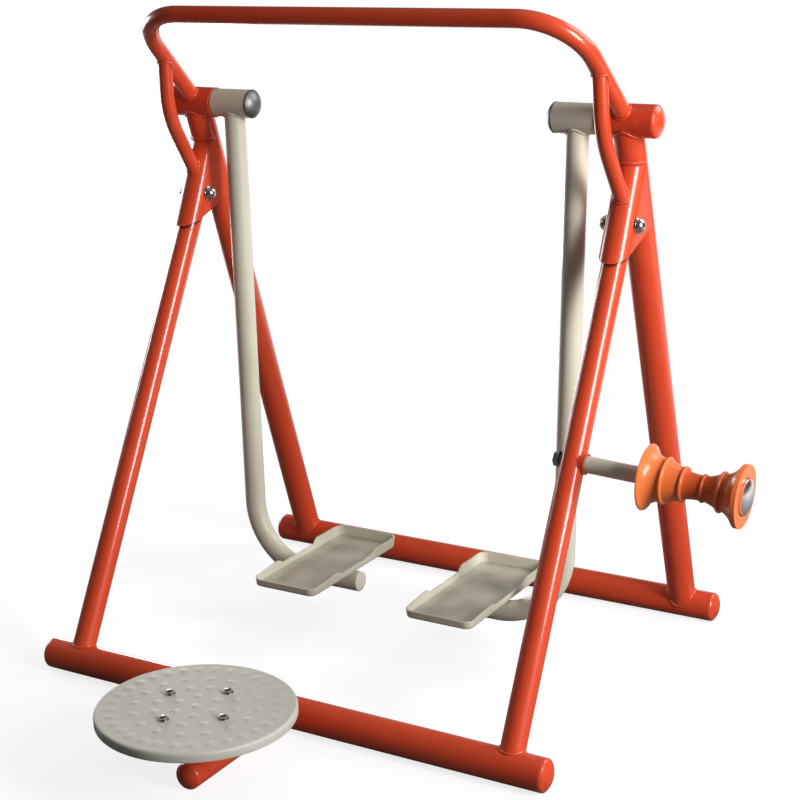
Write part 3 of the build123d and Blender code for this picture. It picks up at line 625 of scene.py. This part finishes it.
@built_once("orange roller plastic")
def roller_plastic(name):
    """The grip roller's glossy orange plastic, with painted shade deeper at the waist."""
    colour = finishes().roller
    material = plastic(
        name, colour, darker(colour, 0.82), scuffs=0.25, roughness=0.36, grain=500.0, depth=0.03 * MM,
        gloss=0.35)
    waist = middle(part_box("grip_roller"))
    shade = {"Waist Shade Colour": opaque(finishes().waist_shade), "Point": waist, "Line": ROLLER_WAY}
    return overlaid(material, waist_shade_group(), shade)


@built_once("nylon")
def bush_nylon(name):
    """Natural nylon of the roller's bushes."""
    return plastic(
        name, (0.80, 0.79, 0.74), (0.68, 0.66, 0.60), scuffs=0.3, roughness=0.45, grain=900.0,
        depth=0.04 * MM)


# Colour, tint, roughness, share of turning rings and the rings' centre
METALS = {
    "spun hub cap": ((0.25, 0.252, 0.255), (0.20, 0.202, 0.205), 0.40, 0.8, (0, 0, AXLE_Z)),
    "spun roller cap": ((0.95, 0.95, 0.96), (0.88, 0.88, 0.89), 0.17, 0.6, middle(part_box("roller_cap"))),
    "zinc plate": ((0.70, 0.69, 0.67), (0.56, 0.55, 0.54), 0.14, 0.0, (0, 0, 0)),
    "dull plate": ((0.52, 0.515, 0.50), (0.32, 0.315, 0.31), 0.18, 0.0, (0, 0, 0)),
    "turned steel": ((0.50, 0.50, 0.51), (0.40, 0.40, 0.41), 0.32, 0.0, (0, 0, 0)),
}


def metal(name):
    """One of the bare or plated metals."""
    if name in bpy.data.materials:
        return bpy.data.materials[name]
    colour, tint, roughness, rings, centre = METALS[name]
    values = {"Colour": opaque(colour), "Tint": opaque(tint), "Roughness": roughness, "Rings": rings,
              "Ring Centre": centre}
    return surface(name, metal_group(), values, {"Metallic": 1.0}, strength=0.35, depth=0.02 * MM)


# Weld beads

class Tube:
    """A round tube: a point on its axis, its direction and its radius."""

    def __init__(self, start, towards, radius):
        self.start = Vector(start)
        self.direction = (Vector(towards) - self.start).normalized()
        self.radius = radius

    def sides(self):
        """Two directions square to the tube."""
        across = self.direction.cross(Vector((1, 0, 0)))
        if across.length < 0.1:
            across = self.direction.cross(Vector((0, 1, 0)))
        across.normalize()
        return across, self.direction.cross(across)

    def normal(self, point):
        """Direction from the axis to a point."""
        offset = point - self.start
        return (offset - self.direction * offset.dot(self.direction)).normalized()

    def at_height(self, z):
        """Point on the axis at a height."""
        return self.start + self.direction * ((z - self.start.z) / self.direction.z)


def along_x(y, z, radius):
    """Tube along X."""
    return Tube((0, y, z), (1, y, z), radius)


def leaning(start, lean, radius):
    """Tube that rises and leans to the rear."""
    return Tube(start, start + Vector((0, math.sin(lean), math.cos(lean))), radius)


# Tubes of the right side that meet in welds
AXLE = Vector((SIDE_X, 0, AXLE_Z))
REAR_FOOT = Vector((SIDE_X, REAR_Y, BASE_Z))
BAR_CORNER = Vector((BAR_CORNER_X, HANDLEBAR[0].y + BAR_RADIUS, HANDLEBAR[1].z - BAR_RADIUS))
FRONT_BASE_TUBE = along_x(FRONT_Y, BASE_Z, BASE_RADIUS)
REAR_BASE_TUBE = along_x(REAR_Y, BASE_Z, BASE_RADIUS)
HOUSING_TUBE = along_x(0, AXLE_Z, HOUSING_RADIUS)
HUB_TUBE = along_x(0, AXLE_Z, HUB_RADIUS)
FRONT_LEG_TUBE = leaning(Vector((SIDE_X, FRONT_Y, BASE_Z)), FRONT_LEAN, FRONT_LEG_RADIUS)
REAR_LEG_TUBE = Tube(REAR_FOOT, AXLE, REAR_LEG_RADIUS)
NOSE_TUBE = leaning(FRONT_LEG_TUBE.at_height(NOSE_CROSS_Z), NOSE_LEAN, NOSE_RADIUS)
BAR_TUBE = Tube(AXLE, BAR_CORNER, BAR_RADIUS)
STRUT_TOP = AXLE + (BAR_CORNER - AXLE) * (STRUT_TOP_Y / BAR_CORNER.y)
STRUT_FOOT = NOSE_TUBE.at_height(STRUT_FOOT_Z) - Vector((0, NOSE_RADIUS / math.cos(NOSE_LEAN), 0))
STRUT_ROOT = STRUT_FOOT + (STRUT_FOOT - STRUT_KNEE).normalized() * STRUT_RADIUS
SIDE_JOINTS = {
    "front_leg_base": (FRONT_LEG_TUBE, FRONT_BASE_TUBE),
    "rear_leg_base": (REAR_LEG_TUBE, REAR_BASE_TUBE),
    "rear_leg_housing": (Tube(AXLE, REAR_FOOT, REAR_LEG_RADIUS), HOUSING_TUBE),
    "bar_housing": (BAR_TUBE, HOUSING_TUBE),
    "strut_bar": (Tube(STRUT_TOP, STRUT_KNEE, STRUT_RADIUS), BAR_TUBE),
    "strut_nose": (Tube(STRUT_ROOT, STRUT_KNEE, STRUT_RADIUS), NOSE_TUBE),
}
RING_POINTS = 96
SEAM_STEPS = 40
SEAM_TURN = 0.94 * math.pi  # how far a socket's bead goes round its nose
RIPPLE_STEPS = 6  # rings of points in one ripple
FEWEST_STEPS = 8  # rings of points in the shortest bead
TIP = 0.04  # square of the share of its radius that an open bead ends with
POST_SHARE = 0.999  # of the post's radius, because foot and post are of one size


def mirrored(point):
    """The same point on the left side."""
    return Vector((-point.x, point.y, point.z))


def on_side(tube, side):
    """A right-hand tube, or its mirror image."""
    if side > 0:
        return tube
    return Tube(mirrored(tube.start), mirrored(tube.start + tube.direction), tube.radius)


def crossing(branch, main, angle):
    """Where a line along the branch's surface comes out of the main tube."""
    across, up = branch.sides()
    start = branch.start + (across * math.cos(angle) + up * math.sin(angle)) * branch.radius
    along = branch.direction - main.direction * branch.direction.dot(main.direction)
    offset = start - main.start
    offset -= main.direction * offset.dot(main.direction)
    a = along.dot(along)
    b = along.dot(offset)
    c = offset.dot(offset) - main.radius ** 2
    return start + branch.direction * ((math.sqrt(max(b * b - a * c, 0)) - b) / a)


def socket_seam(lift):
    """Line of the right socket's weld: over the front, where the nose meets the rear leg."""
    top = NOSE_TUBE.start + NOSE_TUBE.direction * (AXLE_Z - NOSE_CROSS_Z)
    down = Tube(top, NOSE_TUBE.start, NOSE_RADIUS)
    across, up = down.sides()
    quarters = [math.pi / 2 * i for i in range(4)]
    front = min(quarters, key=lambda angle: (across * math.cos(angle) + up * math.sin(angle)).y)
    turns = [front + SEAM_TURN * (i / SEAM_STEPS - 0.5) for i in range(SEAM_STEPS + 1)]
    return [crossing(down, REAR_LEG_TUBE, turn) + REAR_LEG_TUBE.direction * lift for turn in turns]


def resampled(points, step, closed):
    """Points spaced evenly along a line of points, and their spacing."""
    line = points + points[:1] if closed else points
    lengths = [0.0]
    for first, second in zip(line, line[1:]):
        lengths.append(lengths[-1] + (second - first).length)
    count = max(FEWEST_STEPS, round(lengths[-1] / step))
    places = [lengths[-1] * i / count for i in range(count if closed else count + 1)]
    result, index = [], 0
    for place in places:
        while index < len(line) - 2 and lengths[index + 1] < place:
            index += 1
        run = lengths[index + 1] - lengths[index]
        result.append(line[index].lerp(line[index + 1], (place - lengths[index]) / run if run else 0))
    return result, lengths[-1] / count


def bead_mesh(points, tubes, radius, closed):
    """Rippled bead along a line of points that lies in the corner between two tubes."""
    welds = bpy.context.scene.walker_welds
    points, step = resampled(points, welds.pitch / RIPPLE_STEPS, closed)
    count = len(points)
    turns = [2 * math.pi * i / welds.sides for i in range(welds.sides)]
    bm = bmesh.new()
    rings = []
    for index, point in enumerate(points):
        before = points[index - 1] if closed or index else point
        after = points[(index + 1) % count] if closed or index < count - 1 else point
        tangent = (after - before).normalized()
        out = sum((tube.normal(point) for tube in tubes), Vector())
        out = (out - tangent * out.dot(tangent)).normalized()
        side = tangent.cross(out)
        reach = radius * (1 + welds.ripple * math.sin(2 * math.pi * index * step / welds.pitch))
        if not closed:
            from_end = min(index, count - 1 - index) * step / (2 * radius)
            reach *= math.sqrt(min(1.0, TIP + from_end))
        rings.append([bm.verts.new(point + (out * math.cos(a) + side * math.sin(a)) * reach) for a in turns])
    following = rings[1:] + rings[:1] if closed else rings[1:]
    for ring, after in zip(rings, following):
        bridge(bm, ring, after)
    if not closed:
        bm.faces.new(rings[0])
        bm.faces.new(rings[-1])
    return bm


def weld(name, points, tubes, radius, body="frame", closed=True):
    """Lay one bead, in the coat of the body that it is on."""
    bm = bead_mesh(points, tubes, radius, closed)
    if body == "frame":
        link_piece(name, bm, body, orange_coat())
    else:
        link_piece(name, bm, body, cream_coat())


def weld_ring(name, branch, main, radius, body="frame", lowest=None):
    """Bead all round a branch where it meets a main tube, or above a lowest height only."""
    points = [crossing(branch, main, 2 * math.pi * i / RING_POINTS) for i in range(RING_POINTS)]
    if lowest is not None:
        first = min(range(RING_POINTS), key=lambda i: points[i].z)
        points = [point for point in points[first:] + points[:first] if point.z > lowest]
    weld(name, points, (branch, main), radius, body, closed=lowest is None)


# Twist disc

DISC_SEGMENTS = 288
DISC_STEP = 1.5 * MM  # between two rings of points on the top
RIM_STEPS = 8
LIP = 1.2 * MM  # rounding of the skirt's lower edge
RIB_START = 96 * MM
RIB_HALF_WIDTH = 2 * MM
RIB_DEPTH = 9 * MM
RIB_ROUNDING = 0.8 * MM
RIB_SINK = 0.5 * MM  # how far a rib's ends and root go into the walls
PAD_RINGS = ((0.0, 1), (38 * MM, 6), (BOLT_RING, 12), (107 * MM, 16), (145 * MM, 32))
BOLT_PLACES = 3  # every third place on the bolts' ring holds a bolt


def pad_rise(radius, angle, disc):
    """Height of the soft pads at a place on the disc's top."""
    half_width = disc.pad_width / 2
    rise = 0.0
    for ring, count in PAD_RINGS:
        step = 2 * math.pi / count
        turn = angle - BOLT_TURN if ring == BOLT_RING else angle
        index = round(turn / step)
        if ring == BOLT_RING and index % BOLT_PLACES == 0:
            continue
        swing = turn - index * step if ring else 0.0
        half_length = disc.pad_length / 2 if ring == PAD_RINGS[-1][0] else half_width
        along = (radius * math.cos(swing) - ring) / half_length
        across = radius * math.sin(swing) / half_width
        rise += disc.pad * max(0.0, 1 - along ** 2 - across ** 2) ** 2
    return rise


def disc_profile(disc, radius, top, low):
    """Distances and heights of the disc's rim, skirt and underside, from the edge of the top inwards."""
    inside = radius - disc.wall
    under = top - disc.wall
    turns = [math.pi / 2 * i / RIM_STEPS for i in range(1, RIM_STEPS + 1)]
    rim = [(radius - disc.edge * (1 - math.sin(a)), top - disc.edge * (1 - math.cos(a))) for a in turns]
    lip = [(LIP, 0), (0.4 * LIP, 0.2 * LIP), (0, LIP)]
    outer = [(radius - away, low + up) for away, up in reversed(lip)]
    inner = [(inside + away, low + up) for away, up in lip]
    return rim + outer + inner + [(inside, under), (inside / 2, under)]


def moulded_disc(disc, material):
    """The twist disc as one moulding: padded top, rounded rim, skirt, hollow underside and ribs."""
    low = DISC[0].z
    centre = middle(DISC)
    radius = half(DISC, 0)
    top = low + DISC_SKIRT
    under = top - disc.wall
    flat = radius - disc.edge
    turns = [2 * math.pi * i / DISC_SEGMENTS for i in range(DISC_SEGMENTS)]
    bm = bmesh.new()

    def ring_at(reach, height, padded):
        """Ring of points about the disc's axis."""
        return [bm.verts.new((centre.x + reach * math.cos(angle), centre.y + reach * math.sin(angle),
                              height + (pad_rise(reach, angle, disc) if padded else 0.0))) for angle in turns]

    count = round(flat / DISC_STEP)
    rings = [ring_at(flat * i / count, top, True) for i in range(1, count + 1)]
    rings += [ring_at(reach, height, False) for reach, height in disc_profile(disc, radius, top, low)]
    for ring, following in zip(rings, rings[1:]):
        bridge(bm, ring, following)
    peak = bm.verts.new((centre.x, centre.y, top + pad_rise(0.0, 0.0, disc)))
    floor = bm.verts.new((centre.x, centre.y, under))
    for i in range(DISC_SEGMENTS):
        after = (i + 1) % DISC_SEGMENTS
        bm.faces.new((peak, rings[0][i], rings[0][after]))
        bm.faces.new((floor, rings[-1][after], rings[-1][i]))
    for index in range(disc.ribs):
        add_rib(bm, 2 * math.pi * index / disc.ribs, radius - disc.wall, Vector((centre.x, centre.y, under)))
    body = frame["nodes"]["twister_disc"]["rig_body"]
    piece = link_piece("twister_disc_moulded", bm, body, material)
    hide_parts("twister_disc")


def add_rib(bm, angle, end, root):
    """Add one radial rib with rounded lower edges under the disc."""
    right = [(RIB_HALF_WIDTH, RIB_SINK), (RIB_HALF_WIDTH, RIB_ROUNDING - RIB_DEPTH),
             (RIB_HALF_WIDTH - RIB_ROUNDING, -RIB_DEPTH)]
    section = right + [(-side, height) for side, height in reversed(right)]
    way = Vector((math.cos(angle), math.sin(angle), 0))
    across = Vector((-way.y, way.x, 0))
    ends = []
    for reach in (RIB_START, end + RIB_SINK):
        line = root + way * reach
        ends.append([bm.verts.new(line + across * side + Vector((0, 0, height))) for side, height in section])
    bridge(bm, *ends)
    bm.faces.new(ends[0])
    bm.faces.new(ends[1])


# Operators

class WalkerOperator(bpy.types.Operator):
    """Base of the operators that finish the walker."""

    bl_options = {"REGISTER", "UNDO"}


class WALKER_OT_base_and_legs(WalkerOperator):
    """Coat the base tubes, their caps, the legs and the twist disc's stand."""

    bl_idname = "air_walker.base_and_legs"
    bl_label = "Base and legs"

    def execute(self, context):
        base = ["front_base_tube", "rear_base_tube", "base_end_caps"]
        stand = ["twister_foot_tube", "twister_foot_cap"]
        finish_nodes(base + stand + pair("rear_leg"), orange_coat())
        finish_nodes(pair("front_leg"), leg_coat())
        soften_nodes(["twister_post"], finishes().turned, orange_coat())
        return {"FINISHED"}


class WALKER_OT_leg_sockets(WalkerOperator):
    """Coat the leg sockets and round their plate edges."""

    bl_idname = "air_walker.leg_sockets"
    bl_label = "Leg sockets"

    def execute(self, context):
        soften_nodes(pair("leg_socket"), finishes().socket, orange_coat())
        return {"FINISHED"}


class WALKER_OT_handlebar(WalkerOperator):
    """Coat the handlebar and its struts."""

    bl_idname = "air_walker.handlebar"
    bl_label = "Handlebar"

    def execute(self, context):
        finish_nodes(["handlebar"] + pair("handlebar_strut"), orange_coat())
        return {"FINISHED"}


class WALKER_OT_axles(WalkerOperator):
    """Finish the axle housings, what is inside them and the bearings."""

    bl_idname = "air_walker.axles"
    bl_label = "Axles"

    def execute(self, context):
        finish_nodes(["housing_end_caps"], orange_coat())
        soften_nodes(pair("axle_housing"), finishes().turned, orange_coat())
        inside = ["axle_support_rings", "axle_spacers", "axle_washers", "axle_lock_nuts", "twister_bearings",
                  "twister_spindle_nut"]
        finish_nodes(inside + pair("axle_shaft", "hub_bearings"), metal("turned steel"))
        return {"FINISHED"}


class WALKER_OT_swing_arms(WalkerOperator):
    """Coat the swing arms, hubs and plates, and spin the hub caps."""

    bl_idname = "air_walker.swing_arms"
    bl_label = "Swing arms"

    def execute(self, context):
        finish_nodes(pair("swing_arm", "arm_plug"), cream_coat())
        soften_nodes(pair("arm_hub", "pedal_plate"), finishes().pressed, cream_coat())
        soften_nodes(pair("hub_cap"), finishes().turned, metal("spun hub cap"))
        return {"FINISHED"}


class WALKER_OT_pedals(WalkerOperator):
    """Coat the pedal trays and round their rims."""

    bl_idname = "air_walker.pedals"
    bl_label = "Pedals"

    def execute(self, context):
        soften_nodes(pair("pedal"), finishes().pressed, trodden_coat())
        return {"FINISHED"}


class WALKER_OT_twist_disc(WalkerOperator):
    """Finish the twist disc and the spindle under it."""

    bl_idname = "air_walker.twist_disc"
    bl_label = "Twist disc"

    def execute(self, context):
        moulded_disc(context.scene.walker_disc, disc_plastic())
        soften_nodes(["twister_spindle"], finishes().turned, metal("turned steel"))
        return {"FINISHED"}


class WALKER_OT_grip_roller(WalkerOperator):
    """Finish the grip roller, its stub and its bright cap."""

    bl_idname = "air_walker.grip_roller"
    bl_label = "Grip roller"

    def execute(self, context):
        soften_nodes(["grip_roller"], finishes().turned, roller_plastic())
        finish_nodes(["roller_cap"], metal("spun roller cap"))
        finish_nodes(["roller_bushes"], bush_nylon())
        finish_nodes(["roller_axle", "roller_axle_washers"], metal("turned steel"))
        finish_nodes(["roller_stub_tube"], cream_coat())
        soften_nodes(["roller_boss"], finishes().pressed, orange_coat())
        soften_nodes(["roller_axle_nuts"], finishes().nut, metal("turned steel"))
        return {"FINISHED"}


class WALKER_OT_fasteners(WalkerOperator):
    """Plate the nuts, bolts and washers and round their edges."""

    bl_idname = "air_walker.fasteners"
    bl_label = "Fasteners"

    def execute(self, context):
        finish_nodes(["socket_studs", "socket_cap_nuts", "disc_nuts"], metal("zinc plate"))
        soften_nodes(["socket_washers"], finishes().washer, metal("zinc plate"))
        soften_nodes(["disc_bolts", "disc_washers"], finishes().washer, metal("dull plate"))
        return {"FINISHED"}


class WALKER_OT_weld_beads(WalkerOperator):
    """Lay the weld beads where tube meets tube."""

    bl_idname = "air_walker.weld_beads"
    bl_label = "Weld beads"

    def execute(self, context):
        welds = context.scene.walker_welds
        arm = Tube((middle(HUB).x, 0, AXLE_Z), ARM_FOOT, ARM_RADIUS)
        seam = socket_seam(welds.lift)
        for side, label in ((-1, "left"), (1, "right")):
            for name, (branch, main) in SIDE_JOINTS.items():
                weld_ring(f"weld_{name}_{label}", on_side(branch, side), on_side(main, side), welds.radius)
            weld_ring(f"weld_arm_hub_{label}", on_side(arm, side), HUB_TUBE, welds.radius, "arm_" + label)
            points = seam if side > 0 else [mirrored(point) for point in seam]
            tubes = on_side(NOSE_TUBE, side), on_side(REAR_LEG_TUBE, side)
            weld(f"weld_socket_{label}", points, tubes, welds.socket, closed=False)
        foot = Tube((0, FRONT_Y, FOOT_RADIUS), (0, FRONT_Y - 1, FOOT_RADIUS), FOOT_RADIUS)
        weld_ring("weld_foot_base", foot, FRONT_BASE_TUBE, welds.radius, lowest=2 * welds.radius)
        post_y = middle(DISC).y
        post = Tube((0, post_y, FOOT_RADIUS), (0, post_y, 1), POST_SHARE * POST_RADIUS)
        weld_ring("weld_post_foot", post, foot, welds.boss)
        stub = FRONT_LEG_TUBE.at_height(ROLLER_AXIS_Z)
        weld_ring("weld_roller_boss", Tube(stub, stub + ROLLER_WAY, BOSS_RADIUS), FRONT_LEG_TUBE, welds.boss)
        return {"FINISHED"}


class WALKER_OT_studio(WalkerOperator):
    """Set the floor, the lights and the camera."""

    bl_idname = "air_walker.studio"
    bl_label = "Studio"

    def execute(self, context):
        studio = context.scene.walker_studio
        set_camera(studio)
        set_world(studio)
        set_floor(studio)
        set_lights(studio)
        context.scene.view_settings.view_transform = "Standard"
        return {"FINISHED"}


# Studio

SENSOR = 36  # millimetres
FARTHEST = 200  # metres that the camera sees
FLOOR_HALF = 70  # metres from the middle to the floor's edge
FLOOR_DROP = 0.4 * MM  # keeps the floor clear of the base tubes
FLOOR_WHITENS = (1.0, 2.6)  # metres over which the floor turns white to the camera
NEAR_FLOOR_ENDS = (3.0, 4.5)  # metres over which the near floor ends
NEAR_FLOOR_SIDE = (0.0, 0.45)  # shares of +Y over which the near floor turns white in gloss
FAR_FLOOR_SIDE = (0.86, 0.97)  # the same of the floor further out
SURROUND_SIDE = (0.82, 1.0)  # the same of the surround
WHITE = (1, 1, 1, 1)


def set_camera(studio):
    """Camera at the photograph's viewing angle."""
    data = bpy.data.cameras.new("camera")
    data.lens = studio.lens
    data.sensor_width = SENSOR
    data.clip_end = FARTHEST
    camera = new_object("camera", data)
    heading = Matrix.Rotation(studio.yaw, 4, "Z")
    tilt = Matrix.Rotation(math.pi / 2 - studio.pitch, 4, "X")
    roll = Matrix.Rotation(studio.roll, 4, "Z")
    camera.matrix_world = Matrix.Translation(studio.eye) @ heading @ tilt @ roll
    bpy.context.scene.camera = camera


def white_share(tree, direct, behind):
    """Share of white that a ray meets: one for the camera's own, and one for those in gloss and glass."""
    path = add(tree, "ShaderNodeLightPath").outputs
    gloss = calc(tree, "MAXIMUM", path["Is Glossy Ray"], path["Is Transmission Ray"])
    seen = calc(tree, "MULTIPLY", path["Is Camera Ray"], direct)
    return calc(tree, "MAXIMUM", seen, calc(tree, "MULTIPLY", gloss, behind))


def mix_shader(tree, share, first, second):
    """Mix of two shaders' outputs."""
    return add(tree, "ShaderNodeMixShader", {0: share, 1: first.outputs[0], 2: second.outputs[0]})


def set_world(studio):
    """White surround that lights the object softly."""
    world = bpy.data.worlds.new("studio")
    world.use_nodes = True
    bpy.context.scene.world = world
    tree = world.node_tree
    tree.nodes.clear()
    light = add(tree, "ShaderNodeBackground", {"Color": WHITE, "Strength": studio.ambient})
    white = add(tree, "ShaderNodeBackground", {"Color": WHITE, "Strength": 1.0})
    way = add(tree, "ShaderNodeTexCoord").outputs["Generated"]
    behind = spread(tree, part_of(tree, way, "Y"), *SURROUND_SIDE, 0.0, 1.0)
    chosen = mix_shader(tree, white_share(tree, 1.0, behind), light, white)
    add(tree, "ShaderNodeOutputWorld", {"Surface": chosen.outputs[0]})


def floor_material(studio):
    """Pale floor that keeps the walker's shadow and turns white further out."""
    material = bpy.data.materials.new("pale floor")
    material.use_nodes = True
    tree = material.node_tree
    tree.nodes.clear()
    plain = add(tree, "ShaderNodeBsdfDiffuse", {"Color": opaque([studio.bounce] * 3)})
    catcher = add(tree, "ShaderNodeBsdfDiffuse", {"Color": opaque([studio.shadow] * 3)})
    glow = add(tree, "ShaderNodeEmission", {"Color": WHITE, "Strength": studio.glow})
    white = add(tree, "ShaderNodeEmission", {"Color": WHITE, "Strength": 1.0})
    lit = add(tree, "ShaderNodeAddShader", {0: catcher.outputs[0], 1: glow.outputs[0]})
    place = own_place(tree)
    reach = vector_calc(tree, "LENGTH", place)
    side = part_of(tree, vector_calc(tree, "NORMALIZE", place), "Y")
    outer = spread(tree, reach, *FLOOR_WHITENS, 0.0, 1.0)
    near = calc(tree, "MULTIPLY", spread(tree, reach, *NEAR_FLOOR_ENDS, 1.0, 0.0),
                spread(tree, side, *NEAR_FLOOR_SIDE, 0.0, 1.0))
    far = spread(tree, side, *FAR_FLOOR_SIDE, 0.0, 1.0)
    behind = calc(tree, "MULTIPLY", outer, calc(tree, "MAXIMUM", near, far))
    camera_ray = add(tree, "ShaderNodeLightPath").outputs["Is Camera Ray"]
    pale = mix_shader(tree, camera_ray, plain, lit)
    chosen = mix_shader(tree, white_share(tree, outer, behind), pale, white)
    add(tree, "ShaderNodeOutputMaterial", {"Surface": chosen.outputs[0]})
    return material


def set_floor(studio):
    """Flat floor under the walker."""
    bm = bmesh.new()
    bmesh.ops.create_grid(bm, x_segments=1, y_segments=1, size=FLOOR_HALF)
    mesh = bpy.data.meshes.new("floor")
    bm.to_mesh(mesh)
    bm.free()
    mesh.materials.append(floor_material(studio))
    floor = new_object("floor", mesh)
    floor.location.z = CAD_BOX[0].z - FLOOR_DROP


def set_lights(studio):
    """A tall window on the right, two windows on the left and two soft lights above."""
    # Name, place, height on the middle line that it points to, width, height and power
    lamps = (
        ("tall_window", (3.3, -0.85, 1.75), 1.75, 1.0, 1.9, studio.tall),
        ("high_light", (1.9, 1.9, 2.8), 0.7, 1.8, 1.8, studio.high),
        ("left_window", (-3.45, 0.5, 1.3), 1.2, 1.7, 1.0, studio.left),
        ("rear_window", (-2.6, 2.1, 0.55), 0.55, 1.2, 0.8, studio.rear),
        ("top", (0.3, -0.3, 3.6), 0.6, 2.6, 2.6, studio.top),
    )
    for name, place, target, width, height, power in lamps:
        data = bpy.data.lights.new(name, "AREA")
        data.shape = "RECTANGLE"
        data.size = width
        data.size_y = height
        data.energy = power
        lamp = new_object(name, data)
        lamp.location = place
        way = Vector((0, 0, target)) - Vector(place)
        lamp.rotation_euler = way.to_track_quat("-Z", "Y").to_euler()


class WALKER_PT_sidebar(bpy.types.Panel):
    """List of the walker's pieces, with their sizes and colours."""

    bl_idname = "WALKER_PT_sidebar"
    bl_label = "Air walker"
    bl_space_type = "VIEW_3D"
    bl_region_type = "UI"
    bl_category = "Air walker"

    def draw(self, context):
        for operator in OPERATORS:
            self.layout.operator(operator.bl_idname)
        for name in SETTINGS:
            group = getattr(context.scene, name)
            for prop in group.bl_rna.properties:
                if prop.identifier not in ("name", "rna_type"):
                    self.layout.prop(group, prop.identifier)


OPERATORS = WalkerOperator.__subclasses__()  # in the order above
SETTINGS = {
    "walker_finish": WalkerFinish,
    "walker_welds": WalkerWelds,
    "walker_disc": WalkerDisc,
    "walker_studio": WalkerStudio,
}
CLASSES = (*SETTINGS.values(), *OPERATORS, WALKER_PT_sidebar)


def register():
    """Register the classes and hang the settings on the scene."""
    for kind in CLASSES:
        bpy.utils.register_class(kind)
    for name, kind in SETTINGS.items():
        setattr(bpy.types.Scene, name, PointerProperty(type=kind))


def unregister():
    """Take the settings and the classes away again."""
    for name in SETTINGS:
        delattr(bpy.types.Scene, name)
    for kind in reversed(CLASSES):
        bpy.utils.unregister_class(kind)


def main():
    """Finish the walker piece by piece."""
    register()
    for operator in OPERATORS:
        group, name = operator.bl_idname.split(".")
        getattr(getattr(bpy.ops, group), name)()
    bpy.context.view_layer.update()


if __name__ == "__main__":
    main()
